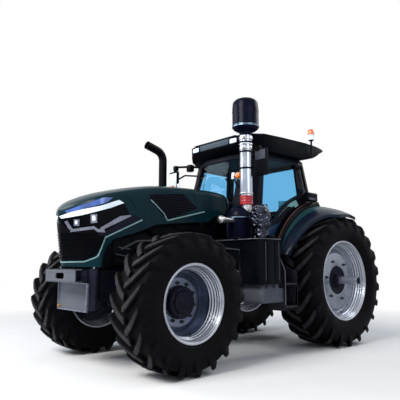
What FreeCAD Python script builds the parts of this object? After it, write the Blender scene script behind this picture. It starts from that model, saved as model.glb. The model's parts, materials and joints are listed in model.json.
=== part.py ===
import FreeCAD, Part

import math
import os

from FreeCAD import Vector

# Farm tractor, millimetres. +X is forward, +Y is left, +Z is up, ground at Z = 0.
# Every shape is drawn with the rear axle at X = 0, and save() moves it so that the
# overall length is centred on the origin.

# Driving dimensions of the whole machine
wheelbase = 2845.0
front_overhang = 965.0
rear_overhang = 1190.0
overall_length = rear_overhang + wheelbase + front_overhang
rear_axle_x = rear_overhang - overall_length / 2

# Running gear
front_wheel_y = 954.0
rear_wheel_y = 932.0
kingpin_y = 720.0
steer_arm = 190.0
bar_axle_r = 50.0
bar_axle_end_y = 1390.0
fit_gap = 0.06
skin_gap = 0.3
move_gap = 6.0

# Tyres: R lug tip radius, W half width, T half tread, lug height, lugs a side,
# flange and seat radius of the rim, half rim width, drop centre radius
FRONT = dict(R=735.0, W=270.0, T=238.0, lug=48.0, count=20, flange=415.0, seat=390.0,
             rim=235.0, bar=33.0, drop=346.0, disc_y=-24.0, hole=172.0, flat=256.0, dish=30.0)
REAR = dict(R=915.0, W=325.0, T=288.0, lug=52.0, count=22, flange=565.0, seat=540.0,
            rim=262.0, bar=38.0, drop=492.0, disc_y=128.0, hole=200.0, flat=392.0, dish=80.0)
rim_wall = 10.0
disc_wall = 14.0
front_z = FRONT["R"]
rear_z = REAR["R"]

# Frame, engine and gearbox
frame_half = 200.0
engine_half = 235.0
engine_back, engine_front = 1740.0, wheelbase + 215.0
engine_low, engine_top = 870.0, 1600.0
beam_half_x = 80.0
beam_half_z = 88.0
boss_r = 68.0
boss_half = 134.0
kingpin_r = 30.0
knuckle_plate = 30.0
spindle_r = 45.0
spindle_end = 30.0
arm_in = 40.0
rod_r = 20.0
rod_drop = 208.0
cylinder_r = 46.0
cylinder_half = 230.0
axle_tube_end = 600.0

# Bonnet
hood_wall = 22.0
front_x = wheelbase + front_overhang
hood_back = 1560.0
carrier_back, carrier_front = front_x - 410.0, front_x - 225.0
hinge_x, hinge_z = 1665.0, 1960.0
hinge_r = 14.0

# Cab
cab_wall = 55.0
door_gap = 6.0
glass_thick = 8.0
glass_inset = 14.0
roof_low = 2690.0
hinge_low, hinge_high = (385.0, 778.0, 2150.0), (410.0, 730.0, 2640.0)
door_pin_r, door_barrel_r = 8.0, 14.0
wheel_centre = (1180.0, 0.0, 1960.0)
wheel_tilt = 35.0

# Left stack and its cleaner
stack_x, stack_y = 1630.0, 800.0
stack_r, stack_wall = 80.0, 4.0
stack_low, stack_top = 2000.0, 2800.0
drum_r, drum_low, drum_top = 178.0, stack_top + 90.0, stack_top + 500.0
hose_low = 1890.0

# Right exhaust
exhaust_x, exhaust_y, exhaust_r = 1840.0, -700.0, 60.0

# Canister under the stack and the foil covered duct beside it
can_x, can_y, can_r = 1640.0, 740.0, 215.0
duct_x, duct_y = 1628.0, 1053.0
shelf_top = 1446.0
tank_back = 1440.0
tank_long = 0.5373 * (wheelbase - FRONT["R"] - tank_back)

# Fenders round the rear tyres: angles above the front, in degrees
fender_wall = 14.0
fender_in, fender_out = 585.0, 1262.0
fender_start, fender_end, fender_tail = 19.0, 95.0, 104.0

# Rear hitch
link_x, link_z = -230.0, 560.0
shaft_z = 1065.0
link_pin_r = 18.0
eye_back, eye_up = 510.0, 40.0
rod_y = 415.0
lift_pin_r = 14.0
ball_y, ball_back = 485.0, 910.0
ball_eye_r = 50.0
ball_bore_r = 18.5


def box(x0, x1, y0, y1, z0, z1):
    return Part.makeBox(x1 - x0, y1 - y0, z1 - z0, Vector(x0, y0, z0))


def rod(start, end, r):
    a = Vector(*start)
    b = Vector(*end)
    return Part.makeCylinder(r, (b - a).Length, a, b - a)


def face(points):
    wire = Part.makePolygon([Vector(*p) for p in points] + [Vector(*points[0])])
    return Part.Face(wire)


def prism_xz(points, y0, y1):
    return face([(x, y0, z) for x, z in points]).extrude(Vector(0, y1 - y0, 0))


def prism_xy(points, z0, z1):
    return face([(x, y, z0) for x, y in points]).extrude(Vector(0, 0, z1 - z0))


def prism_yz(points, x0, x1):
    return face([(x0, y, z) for y, z in points]).extrude(Vector(x1 - x0, 0, 0))


def fuse(first, *rest):
    return first.multiFuse(list(rest)).removeSplitter() if rest else first


def cut(shape, *tools):
    for tool in tools:
        shape = shape.cut(tool)
    return shape


def mirrored(shape):
    return shape.mirror(Vector(0, 0, 0), Vector(0, 1, 0))


def pair(shape):
    return Part.makeCompound([shape, mirrored(shape)])


def moved(shape, x, y, z):
    copy = shape.copy()
    copy.translate(Vector(x, y, z))
    return copy


def revolve_y(outline, start=0.0, sweep=360.0):
    """A ring from its outline, a list of (y, radius), turned about the Y axis."""
    a = math.radians(start)
    wire = face([(r * math.cos(a), y, r * math.sin(a)) for y, r in outline])
    return wire.revolve(Vector(0, 0, 0), Vector(0, -1, 0), sweep)


def vertical_edges(shape):
    found = []
    for edge in shape.Edges:
        if len(edge.Vertexes) == 2:
            a, b = (v.Point for v in edge.Vertexes)
            if abs(a.x - b.x) < 0.01 and abs(a.y - b.y) < 0.01:
                found.append(edge)
    return found


def tube_path(points, radius, r):
    """A round bar of radius r along straight runs joined by tangent arcs."""
    pts = [Vector(*p) for p in points]
    edges = []
    last = pts[0]
    for a, b, c in zip(pts, pts[1:], pts[2:]):
        into = (b - a).normalize()
        out = (c - b).normalize()
        half = into.getAngle(out) / 2
        back = radius * math.tan(half)
        p0 = b - into * back
        p1 = b + out * back
        inward = (out - into).normalize()
        middle = b + inward * (radius / math.cos(half) - radius)
        edges.append(Part.LineSegment(last, p0).toShape())
        edges.append(Part.Arc(p0, middle, p1).toShape())
        last = p1
    edges.append(Part.LineSegment(last, pts[-1]).toShape())
    path = Part.Wire(edges)
    start = Part.Wire(Part.makeCircle(r, pts[0], pts[1] - pts[0]))
    return path.makePipeShell([start], True, False)


def save(name, shape):
    shape = moved(shape, rear_axle_x, 0, 0)
    os.makedirs("parts", exist_ok=True)
    shape.exportStep(f"parts/{name}.step")


# Wheels, drawn about the Y axis with their outer side towards +Y

def ring_of_flats(outline, count, start):
    """The ring of an outline, a list of (y, radius), in count flat steps round the Y axis."""
    rings = []
    for i in range(count):
        a = math.radians(start + i * 360.0 / count)
        rings.append([Vector(r * math.cos(a), y, r * math.sin(a)) for y, r in outline])
    faces = []
    for near, far in zip(rings, rings[1:] + rings[:1]):
        for i in range(len(outline)):
            j = (i + 1) % len(outline)
            faces.append(Part.Face(Part.makePolygon([near[i], near[j], far[j], far[i], near[i]])))
    solid = Part.Solid(Part.Shell(faces))
    if solid.Volume < 0:
        solid.reverse()
    return solid


def tyre_outline(s):
    height = s["R"] - s["flange"]
    bead = s["rim"] - rim_wall - skin_gap
    flat = math.cos(math.pi / (2 * s["count"]))
    half = [
        (bead, (s["seat"] + skin_gap) / flat),
        (bead, s["flange"] + 4),
        (s["W"] - 12, s["flange"] + 0.14 * height),
        (s["W"], s["flange"] + 0.42 * height),
        (s["T"], s["R"] - s["lug"] - 12),
        (0.4 * s["T"], s["R"] - s["lug"]),
    ]
    return half + [(-y, r) for y, r in reversed(half)]


def lug_bar(s, start, side):
    """One slanting lug from the tread's middle, over the shoulder, to the sidewall."""
    tread = s["R"] - s["lug"]
    height = s["R"] - s["flange"]
    lead = math.degrees(0.98 * s["T"] / s["R"])
    thick = math.degrees(s["bar"] / s["R"])
    # share of the lead, y, top radius, base radius, half width in degrees
    stations = (
        (0.0, -10.0, s["R"], tread - 8, thick),
        (1.0, s["T"] + 4, s["R"] - 6, tread - 24, 0.88 * thick),
        (1.16, s["W"] - 3, s["R"] - 0.30 * height, tread - 0.36 * height, 0.8 * thick),
    )
    rings = []
    for share, y, top, base, half in stations:
        angle = start + share * lead
        ring = []
        for r, turn in ((top, -half), (top, half), (base, 1.35 * half), (base, -1.35 * half)):
            a = math.radians(angle + turn)
            ring.append(Vector(r * math.cos(a), side * y, r * math.sin(a)))
        rings.append(ring)
    triangles = []
    for near, far in zip(rings, rings[1:]):
        for i in range(4):
            j = (i + 1) % 4
            triangles += [(near[i], near[j], far[j]), (near[i], far[j], far[i])]
    for ring in (rings[0], rings[-1]):
        triangles += [(ring[0], ring[1], ring[2]), (ring[0], ring[2], ring[3])]
    faces = [Part.Face(Part.makePolygon(list(t) + [t[0]])) for t in triangles]
    solid = Part.Solid(Part.Shell(faces))
    if solid.Volume < 0:
        solid.reverse()
    return solid


def tyre(s):
    """Carcass and lugs, turned so that one lug's corner touches the ground."""
    lugs = []
    pitch = 360.0 / s["count"]
    first = -90.0 - math.degrees(s["bar"] / s["R"])
    for i in range(s["count"]):
        lugs.append(lug_bar(s, first + i * pitch, 1))
        lugs.append(lug_bar(s, first + (i + 0.5) * pitch, -1))
    return ring_of_flats(tyre_outline(s), 2 * s["count"], first).multiFuse(lugs)


def rim(s):
    step = (s["seat"] + s["drop"]) / 2
    shape = [
        (s["rim"], s["flange"]), (s["rim"] - rim_wall, s["flange"]),
        (s["rim"] - rim_wall, s["seat"]), (0.62 * s["rim"], s["seat"] - 3),
        (0.36 * s["rim"], s["drop"]),
    ]
    outer = shape + [(-y, r) for y, r in reversed(shape)]
    inner = [
        (-s["rim"], s["seat"] - rim_wall), (-0.62 * s["rim"], s["seat"] - rim_wall - 3),
        (-0.36 * s["rim"], s["drop"] - rim_wall), (0.36 * s["rim"], s["drop"] - rim_wall),
        (0.55 * s["rim"], step - rim_wall), (0.62 * s["rim"], s["seat"] - rim_wall - 3),
        (s["rim"], s["seat"] - rim_wall),
    ]
    barrel = revolve_y(outer + inner)
    y = s["disc_y"]
    reach = s["drop"] - rim_wall + 2
    disc = revolve_y([
        (y, s["hole"]), (y, s["flat"]), (y - s["dish"], reach), (y - s["dish"] - disc_wall, reach),
        (y - disc_wall, s["flat"] - 4), (y - disc_wall, s["hole"]),
    ])
    return fuse(barrel, disc)


def front_hub():
    s = FRONT
    back = s["disc_y"] - disc_wall - skin_gap
    inner = kingpin_y + 120 + 9 - front_wheel_y
    drum = revolve_y([
        (inner, spindle_r + fit_gap), (inner, 150), (back - 14, 150), (back - 14, s["flat"] - 8),
        (back, s["flat"] - 8), (back, s["hole"] - 2), (20, s["hole"] - 2), (30, s["hole"] - 12),
        (30, 122), (46, 116), (46, 0), (spindle_end + 4, 0), (spindle_end + 4, spindle_r + fit_gap),
    ])
    return drum


def rear_hub():
    """Cast hub behind the disc, clamped on the long bar axle that turns with it."""
    s = REAR
    back = s["disc_y"] - disc_wall - skin_gap
    bar_end = bar_axle_end_y - rear_wheel_y
    inner = axle_tube_end - 70 - rear_wheel_y
    cast_in = axle_tube_end + 12 - rear_wheel_y
    return revolve_y([
        (inner, 0), (inner, bar_axle_r), (cast_in, bar_axle_r), (cast_in, 120), (-60, 150),
        (back - 26, 185), (back - 26, 300), (back, 300), (back, s["hole"] - 2),
        (s["disc_y"] + 4, s["hole"] - 2), (s["disc_y"] - 24, 120), (s["disc_y"] - 10, 96),
        (s["disc_y"] + 30, 90), (s["disc_y"] + 30, bar_axle_r), (bar_end - 3, bar_axle_r),
        (bar_end, bar_axle_r - 3), (bar_end, 0),
    ])


def place_wheels():
    # name, size table, axle X, wheel Y, hub maker
    table = (
        ("front", FRONT, wheelbase, front_wheel_y, front_hub),
        ("rear", REAR, 0.0, rear_wheel_y, rear_hub),
    )
    for name, s, x, y, hub in table:
        for kind, shape in (("tyre", tyre(s)), ("rim", rim(s)), ("hub", hub())):
            left = moved(shape, x, y, s["R"])
            save(f"{kind}_{name}_left", left)
            save(f"{kind}_{name}_right", mirrored(left))


# Chassis

def engine_block():
    block = box(engine_back, engine_front, -engine_half, engine_half, engine_low, engine_top)
    sump = box(engine_back + 120, wheelbase - 215, -170, 170, engine_low - 130, engine_low)
    return fuse(block, sump)


def front_frame():
    """Cast front support: under the engine, over the axle, ending at the carrier."""
    beam_top = front_z + beam_half_z
    saddle = box(wheelbase - 145, engine_front, -150, 150, beam_top, engine_low)
    nose = box(engine_front, carrier_back, -frame_half, frame_half, beam_top, 1100)
    return fuse(nose, saddle)


def front_carrier():
    side = carrier_front - 45
    plan = [(carrier_back, 210), (side, 420), (carrier_front, 370), (carrier_front, -370), (side, -420),
            (carrier_back, -210)]
    block = prism_xy(plan, 650, 1090)
    return block.makeFillet(24, vertical_edges(block))


def tow_bar():
    back, front, half = carrier_front, carrier_front + 180.0, 350.0
    low, top, wall = 940.0, 1080.0, 12.0
    channel = cut(box(back, front, -half, half, low, top),
                  box(back, front - wall, -half - 1, half + 1, low + wall, top - wall))
    slot = prism_yz([(-77, 984), (-71, 978), (71, 978), (77, 984), (77, 1036), (71, 1042), (-71, 1042),
                     (-77, 1036)], back, front + 1)
    pad = box(back, back + wall, -half, half, low + wall, top - wall)
    return cut(fuse(channel, pad), slot.common(box(back + wall, front + 2, -200, 200, low, top)))


def front_plate():
    back, low, top, half = carrier_front, 632.0, 936.0, 335.0
    sheet = box(back, back + 8, -half, half, low, top)
    lip = cut(box(back, back + 26, -half, half, low, top),
              box(back - 1, back + 27, -half + 14, half - 14, low + 14, top - 14))
    pin = rod((back + 8, -half + 34, low + 40), (back + 40, -half + 34, low + 40), 12)
    return fuse(sheet, lip, pin)


def front_axle_beam():
    side = [
        (-kingpin_y, 60), (-420, 60), (-200, beam_half_z), (200, beam_half_z), (420, 60),
        (kingpin_y, 60), (kingpin_y, -60), (420, -60), (200, -beam_half_z), (-200, -beam_half_z),
        (-420, -60), (-kingpin_y, -60),
    ]
    beam = prism_yz(side, -beam_half_x + 20, beam_half_x - 20)
    beam = fuse(beam, box(-beam_half_x, beam_half_x, -190, 190, -beam_half_z, beam_half_z))
    clamp = box(-steer_arm, -beam_half_x + 21, -120, 120, -rod_drop - 20, -beam_half_z + 40)
    clamp = cut(clamp, box(-steer_arm - 1, -beam_half_x - 24, -90, 90, -rod_drop - 21, 0))
    for side_y in (-kingpin_y, kingpin_y):
        beam = fuse(beam, rod((0, side_y, -boss_half), (0, side_y, boss_half), boss_r))
    beam = fuse(beam, clamp)
    beam = cut(beam, rod((-steer_arm, -300, -rod_drop), (-steer_arm, 300, -rod_drop), cylinder_r))
    for side_y in (-kingpin_y, kingpin_y):
        for z0, z1 in ((-boss_half, -boss_half + 62), (boss_half - 62, boss_half)):
            beam = cut(beam, rod((0, side_y, z0), (0, side_y, z1), kingpin_r + fit_gap))
    return moved(beam, wheelbase, 0, front_z)


def steering_cylinder():
    barrel = rod((0, -cylinder_half, 0), (0, cylinder_half, 0), cylinder_r)
    collars = [rod((0, y, 0), (0, y + 30, 0), cylinder_r + 8) for y in (-cylinder_half, cylinder_half - 30)]
    bore = rod((0, -cylinder_half - 1, 0), (0, cylinder_half + 1, 0), rod_r + fit_gap)
    return moved(cut(fuse(barrel, *collars), bore), wheelbase - steer_arm, 0, front_z - rod_drop)


def steering_rod():
    eye_y = kingpin_y - arm_in
    bar = rod((0, -eye_y + 20, 0), (0, eye_y - 20, 0), rod_r)
    eyes = []
    for y in (-eye_y, eye_y):
        eyes.append(cut(rod((0, y, -18), (0, y, 12), 34), rod((0, y, -19), (0, y, 13), 16)))
    bar = cut(bar, rod((0, eye_y, -30), (0, eye_y, 30), 16), rod((0, -eye_y, -30), (0, -eye_y, 30), 16))
    return moved(fuse(bar, *eyes), wheelbase - steer_arm, 0, front_z - rod_drop)


def knuckle():
    """Left steering knuckle: a fork round the axle's boss, its spindle and its arm."""
    low = boss_half + move_gap
    high = low + knuckle_plate
    wall_in, wall_out = 80.0, 120.0
    parts = [box(-85, 85, wall_in, wall_out, -high, high)]
    for z0, z1 in ((low, high), (-high, -low)):
        parts.append(rod((0, 0, z0), (0, 0, z1), boss_r + 6))
        parts.append(box(-boss_r - 6, boss_r + 6, 0, wall_in + 1, z0, z1))
    parts.append(rod((0, 0, low + 1), (0, 0, boss_half - 58), kingpin_r))
    parts.append(rod((0, 0, -low - 1), (0, 0, -boss_half + 58), kingpin_r))
    arm = prism_xy([(30, -60), (30, 60), (-steer_arm, -arm_in + 34), (-steer_arm, -arm_in - 34)], -high, -low)
    eye = rod((-steer_arm, -arm_in, -high - 10), (-steer_arm, -arm_in, -low), 34)
    spindle = rod((0, wall_out - 1, 0), (0, front_wheel_y - kingpin_y + spindle_end, 0), spindle_r)
    shape = fuse(parts[0], *parts[1:], arm, eye, spindle)
    return moved(shape, wheelbase, kingpin_y, front_z)


def transmission_housing():
    """Gearbox casting, rear axle centre, side tubes and the top pads for the cab."""
    case = box(-330, engine_back, -215, 215, 640, 1120)
    pads = [box(x, x + 160, y, y + 80, 1120, CAB_LEVELS[0]) for x in (160, 1300) for y in (-200, 120)]
    bell = box(engine_back - 160, engine_back, -engine_half, engine_half, 640, 1200)
    centre = rod((0, -300, rear_z), (0, 300, rear_z), 235)
    tubes = []
    for side in (-1, 1):
        tubes.append(Part.makeCone(190, 130, 260, Vector(0, side * 290, rear_z), Vector(0, side, 0)))
        tubes.append(rod((0, side * 540, rear_z), (0, side * axle_tube_end, rear_z), 130))
    shape = fuse(case, bell, centre, *tubes, *pads)
    shape = cut(shape, rod((link_x, -310, shaft_z), (link_x, 310, shaft_z), 45 + fit_gap))
    for side in (-1, 1):
        bore = rod((0, side * (axle_tube_end - 76), rear_z), (0, side * (axle_tube_end + 1), rear_z),
                   bar_axle_r + fit_gap)
        shape = cut(shape, bore)
    return shape


def fuel_tanks():
    """Moulded tanks on both sides, rounded to the front, hung on the gearbox."""
    front, back, outer = tank_back + tank_long, tank_back, 1180.0
    low, top = 900.0, shelf_top - 16
    inner = [(back, 600), (back + tank_long / 6, 540), (back + 0.3 * tank_long, engine_half)]
    tank = prism_xy(inner + [(front, engine_half), (front, outer), (back, outer)], low, top)
    corner = [e for e in vertical_edges(tank) if e.Vertexes[0].Point.x > front - 1
              and e.Vertexes[0].Point.y > outer - 1]
    tank = tank.makeFillet(90, corner)
    lip = prism_xy(inner + [(front + 12, engine_half), (front + 12, outer - 60), (front - 70, outer + 12),
                            (back, outer + 12)], top, shelf_top)
    for x in (back + 0.31 * tank_long, back + 0.69 * tank_long):
        tank = tank.cut(box(x, x + 14, outer - 8, outer + 20, low - 1, top + 1))
    return pair(fuse(tank, lip))


def side_boxes():
    """Battery box on the left and tool box on the right, under the tanks."""
    front, back, inner, outer = tank_back + tank_long - 75, tank_back - 110, 560.0, 1130.0
    low, top = 672.0, 900.0
    plan = [(back, inner), (front - 110, inner), (front, 830), (front, outer), (back, outer)]
    case = prism_xy(plan, low, top)
    notch = box(back - 1, back + 95, outer - 90, outer + 1, top - 55, top + 1)
    return pair(cut(case, notch))


def cab_steps():
    """Steps at each side below the door: two cheeks that lean outwards and three treads."""
    back, front, wall = 1080.0, 1323.0, 8.0
    side = [(680, 1290), (770, 1240), (1155, 1030), (1155, 600), (1115, 560), (900, 560), (870, 640),
            (760, 1000), (680, 1100)]
    parts = [prism_yz(side, x, x + wall).cut(cab_form(0.0)) for x in (back, front - wall)]
    # inner and outer edge and height of each tread
    for y0, y1, z in ((885, 1150, 600), (850, 1150, 880), (770, 920, 1130)):
        parts.append(box(back, front, y0, y1, z, z + 20))
    return pair(fuse(*parts))


# Bonnet: cross sections by table, trimmed by a side outline and a plan outline

# Share of the bonnet's length, crown Z at the middle, Z of the top edge at the side, half width
HOOD_SECTIONS = (
    (0.0, 2030.0, 1985.0, 425.0),
    (0.2, 2125.0, 2075.0, 440.0),
    (0.5244, 2100.0, 2045.0, 440.0),
    (0.8044, 2010.0, 1960.0, 430.0),
    (0.9244, 1880.0, 1850.0, 420.0),
    (1.0089, 1740.0, 1720.0, 400.0),
)
# Side outline under the bonnet, from the chin back to the rear tip, as share of the length and Z
HOOD_LOWER = (
    (0.969, 1150.0), (0.867, 1100.0), (0.809, 1160.0), (0.698, 1420.0), (0.582, 1535.0),
    (0.48, 1610.0), (0.24, 1695.0), (0.0444, 1780.0), (0.0111, 1880.0), (0.0067, 1960.0),
)


def hood_x(share):
    return hood_back + share * (front_x - hood_back)


def hood_side(points):
    return [(hood_x(share), z) for share, z in points]


def hood_form(inset):
    """The bonnet's solid form, drawn in by inset on its outer faces and open below."""
    wires = []
    for share, crown, edge, half in HOOD_SECTIONS:
        w = half - inset
        c = crown - inset
        e = edge - inset
        right = [(0.62 * w, c - 0.28 * (crown - edge)), (0.93 * w, e), (w, e - 70), (w, 1500.0)]
        right.append((w - 10, 1000.0))
        ring = [(-y, z) for y, z in reversed(right)] + right
        pts = [Vector(hood_x(share), y, z) for y, z in ring]
        wires.append(Part.makePolygon(pts + [pts[0]]))
    body = Part.makeLoft(wires, True, True)
    nose = front_x - inset
    corner = nose - 265.0
    rear = hood_back - 60.0
    plan = [(rear, -500), (corner, -500), (corner, -420 + inset), (corner + 130, -300 + inset),
            (nose - 30, -120), (nose, 0), (nose - 30, 120), (corner + 130, 300 - inset),
            (corner, 420 - inset), (corner, 500), (rear, 500)]
    body = body.common(prism_xy(plan, 900, 2300))
    drop = 60.0 if inset else 0.0
    front = [(nose - 10, 2300), (nose, 1700), (nose - 75, 1190 - drop)]
    lower = [(x, z - drop) for x, z in hood_side(HOOD_LOWER)]
    end = [(hood_back + 15.0 - drop, 2300)]
    return body.common(prism_xz(front + lower + end, -520, 520))


# Window bands cut in the bonnet, side outlines as share of its length and Z
LAMP_BAND = ((1.04, 1500), (1.04, 1668), (0.8889, 1720), (0.74, 1812), (0.7867, 1690), (0.8533, 1500))
GRILLE_BAND = ((1.04, 1215), (1.04, 1455), (0.8578, 1455), (0.8622, 1380), (0.8889, 1215))
VENT_FIELD = ((0.5956, 1930), (0.3822, 1975), (0.2444, 1800), (0.48, 1660))


def outline_gap(points, gap):
    """The same outline with every side moved inwards by gap."""
    sides = list(zip(points, points[1:] + points[:1]))
    turn = 1 if sum(x0 * z1 - x1 * z0 for (x0, z0), (x1, z1) in sides) > 0 else -1
    lines = []
    for (x0, z0), (x1, z1) in sides:
        run = turn * math.hypot(x1 - x0, z1 - z0)
        nx, nz = (z0 - z1) / run, (x1 - x0) / run
        lines.append((nx, nz, nx * x0 + nz * z0 + gap))
    drawn = []
    for (a, b, c), (d, e, f) in zip(lines[-1:] + lines[:-1], lines):
        cross = a * e - b * d
        drawn.append(((c * e - b * f) / cross, (a * f - c * d) / cross))
    return drawn


def hood_parts():
    outer = hood_form(0.0)
    inner = hood_form(hood_wall)
    behind = hood_form(hood_wall + skin_gap)
    shell = outer.cut(inner)
    # node, window band, depth of its face and of its back under the bonnet's skin
    table = (
        ("headlamps", LAMP_BAND, 8.0, 42.0),
        ("grille", GRILLE_BAND, 8.0, 34.0),
        ("vent", VENT_FIELD, 8.0, 34.0),
    )
    panels = {}
    for name, shares, front, back in table:
        band = hood_side(shares)
        backing = hood_form(back)
        shell = shell.cut(prism_xz(band, -500, 500))
        panel = hood_form(front).cut(backing).common(prism_xz(outline_gap(band, 2.0), -500, 500))
        flange = behind.cut(backing).common(prism_xz(outline_gap(band, -12.0), -500, 500))
        panels[name] = panel.fuse(flange)
    ears = []
    side = [(hinge_x - 40, hinge_z - 30), (hinge_x + 40, hinge_z - 30), (hinge_x + 60, hinge_z + 70),
            (hinge_x - 60, hinge_z + 60)]
    for y in (-330.0, 330.0):
        ears.append(prism_xz(side, y - 8, y + 8).common(outer))
    shell = fuse(shell, *ears)
    shell = cut(shell, rod((hinge_x, -400, hinge_z), (hinge_x, 400, hinge_z), hinge_r + fit_gap))
    save("hood_shell", shell)
    save("headlamps", panels["headlamps"])
    grille = panels["grille"]
    for z in range(1252, 1430, 36):
        grille = grille.cut(box(front_x - 210, front_x + 90, -340, 340, z, z + 20))
    save("hood_grilles", Part.makeCompound(grille.Solids + panels["vent"].Solids))


def hood_bracket():
    """Arch on the gearbox bell that carries the bonnet's hinge pin."""
    pin = rod((hinge_x, -370, hinge_z), (hinge_x, 370, hinge_z), hinge_r)
    posts = []
    for y in (-230.0, 190.0):
        posts.append(box(hinge_x - 30, hinge_x + 30, y, y + 40, 1200, hinge_z + 20))
    return fuse(pin, *posts)


def radiator():
    return box(carrier_back - 100, carrier_back + 20, -295, 295, 1100, 1800)


# Cab: three plan outlines joined by flat panels
# X and half width at the floor, at the belt and at the roof, from front to rear
CAB_PLAN = (
    ("screen", (1530, 240), (1540, 240), (1350, 240)),
    ("front_post", (1470, 520), (1480, 520), (1230, 540)),
    ("door_front", (1300, 680), (1310, 690), (1150, 660)),
    ("door_rear", (320, 770), (280, 780), (370, 700)),
    ("rear_post", (120, 700), (60, 720), (180, 640)),
)
CAB_LEVELS = (1180.0, 1950.0, roof_low)
# Way along X in which each corner of the plan moves when the form is drawn in
CAB_PUSH = {"screen": -1, "front_post": -1, "rear_post": 1}


def cab_form(inset):
    wires = []
    for level, z in enumerate(CAB_LEVELS):
        left = []
        for row in CAB_PLAN:
            x, y = row[1 + level]
            left.append((x + CAB_PUSH.get(row[0], 0) * inset, y - inset))
        ring = left + [(x, -y) for x, y in reversed(left)]
        pts = [Vector(x, y, z) for x, y in ring]
        wires.append(Part.makePolygon(pts + [pts[0]]))
    return Part.makeLoft(wires, True, True)


# Side outline of the door, from its front foot round to the rear post
DOOR_SIDE = ((1270, 1300), (1245, 1950), (1135, 2650), (420, 2650), (395, 2110), (620, 2010), (830, 1860),
             (985, 1690), (1075, 1520), (1110, 1300))
DOOR_GLASS = ((1225, 1380), (1200, 1950), (1100, 2610), (465, 2610), (445, 2150), (650, 2055), (870, 1895),
              (1030, 1715), (1120, 1540), (1150, 1380))
REAR_SIDE_GLASS = ((345, 2610), (240, 2610), (165, 2150), (310, 2150))


def wheel_arch(grow):
    """The space of the left rear wheel and its fender, grown outwards by grow."""
    outline = [(fender_in - grow, 0)] + [(y, r + grow) for y, r in FENDER_LINE] + [(fender_out, 0)]
    outline[1] = (fender_in - grow, outline[1][1])
    return moved(revolve_y(outline), 0, 0, rear_z)


def door_hinges():
    """Barrels on the door and the pins on the cab, along the door's leaning axis."""
    low, high = Vector(*hinge_low), Vector(*hinge_high)
    run = (high - low).normalize()
    barrels, pins = [], []
    for along in (50.0, 400.0):
        a = low + run * along
        barrel = Part.makeCylinder(door_barrel_r, 50, a, run)
        hole = Part.makeCylinder(door_pin_r + fit_gap, 200, a - run * 60, run)
        strap = box(a.x, a.x + 75, a.y - 30, a.y - 4, a.z + 6, a.z + 42)
        barrels.append((barrel.fuse(strap), hole))
        pin = Part.makeCylinder(door_pin_r, 69, a - run * 19, run)
        foot = Part.makeCylinder(door_barrel_r, 18, a - run * 19, run)
        lug = box(a.x - 14, a.x + 12, a.y - 60, a.y, a.z - 18, a.z - 2)
        pins.append(fuse(pin, foot, lug))
    return barrels, pins


def cab_parts():
    outer = cab_form(0.0)
    room = cab_form(cab_wall).common(box(0, 2000, -900, 900, CAB_LEVELS[0] + 40, roof_low - 30))
    arch, arch_room = wheel_arch(skin_gap), wheel_arch(30.0)
    room = cut(room, arch_room, mirrored(arch_room))
    frame = cut(outer, room, arch, mirrored(arch))
    side = prism_xz(DOOR_SIDE, -900, 900)
    screen = prism_yz([(-420, 1980), (-395, 2620), (395, 2620), (420, 1980)], 1180, 1800)
    rear = prism_yz([(-560, 1990), (-520, 2610), (520, 2610), (560, 1990)], -100, 300)
    quarter = prism_xz(REAR_SIDE_GLASS, -900, 900)
    opening = outer.cut(cab_form(cab_wall + 30))
    frame = cut(frame, *[opening.common(hole) for hole in (side, screen, rear, quarter)])
    barrels, pins = door_hinges()
    shafts = [pin.cut(outer) for pin in pins]
    save("cab_frame", fuse(frame, *shafts, *[mirrored(pin) for pin in shafts]))
    pane = cab_form(glass_inset).cut(cab_form(glass_inset + glass_thick))
    panes = []
    for hole in (screen, rear, quarter):
        panes += pane.common(hole).Solids
    save("cab_glass", Part.makeCompound(panes))
    leaf = outer.cut(cab_form(36.0)).common(prism_xz(outline_gap(DOOR_SIDE, door_gap), 100, 900))
    leaf = leaf.cut(prism_xz(DOOR_GLASS, 0, 900))
    handle = box(1222, 1240, 680, 722, 1560, 1700)
    leaf = fuse(leaf, handle.cut(outer), *[barrel.cut(outer) for barrel, hole in barrels])
    leaf = cut(leaf, *[hole for barrel, hole in barrels])
    save("door_left", leaf)
    save("door_right", mirrored(leaf))
    glass = pane.common(prism_xz(DOOR_GLASS, 100, 900))
    save("door_left_glass", glass)
    save("door_right_glass", mirrored(glass))


def cab_roof():
    """Roof shell with a visor to the front and a lip behind, arched along the side."""
    side = [(1440, 2878), (1410, 2790), (1300, roof_low), (200, roof_low), (100, 2760), (-175, 2905),
            (-190, 2950), (-60, 2958), (400, 2945), (1000, 2920)]
    roof = prism_xz(side, -800, 800)
    plan = [(1440, 430), (1380, 560), (1150, 720), (300, 790), (0, 780), (-190, 660)]
    plan += [(x, -y) for x, y in reversed(plan)]
    return roof.common(prism_xy(plan, 2600, 3000))


def seat():
    cushion = box(560, 1060, -250, 250, 1560, 1680)
    back = prism_xz([(560, 1640), (680, 1640), (600, 2260), (500, 2260)], -230, 230)
    cushion = cushion.makeFillet(40, vertical_edges(cushion))
    post = box(640, 960, -180, 180, CAB_LEVELS[0] + 40, 1560)
    return fuse(post, cushion, back)


def console():
    column = prism_xz([(1460, 1220), (1470, 1880), (1400, 1900), (1285, 1800), (1310, 1740), (1400, 1500),
                       (1410, 1220)], -110, 110)
    dash = prism_xz([(1400, 1800), (1470, 1800), (1470, 1920), (1380, 1910)], -210, 210)
    column = fuse(column, steering_column())
    side = prism_xz([(560, 1220), (1100, 1220), (1100, 1700), (560, 1760)], -480, -300)
    return Part.makeCompound([fuse(column, dash), side])


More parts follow.
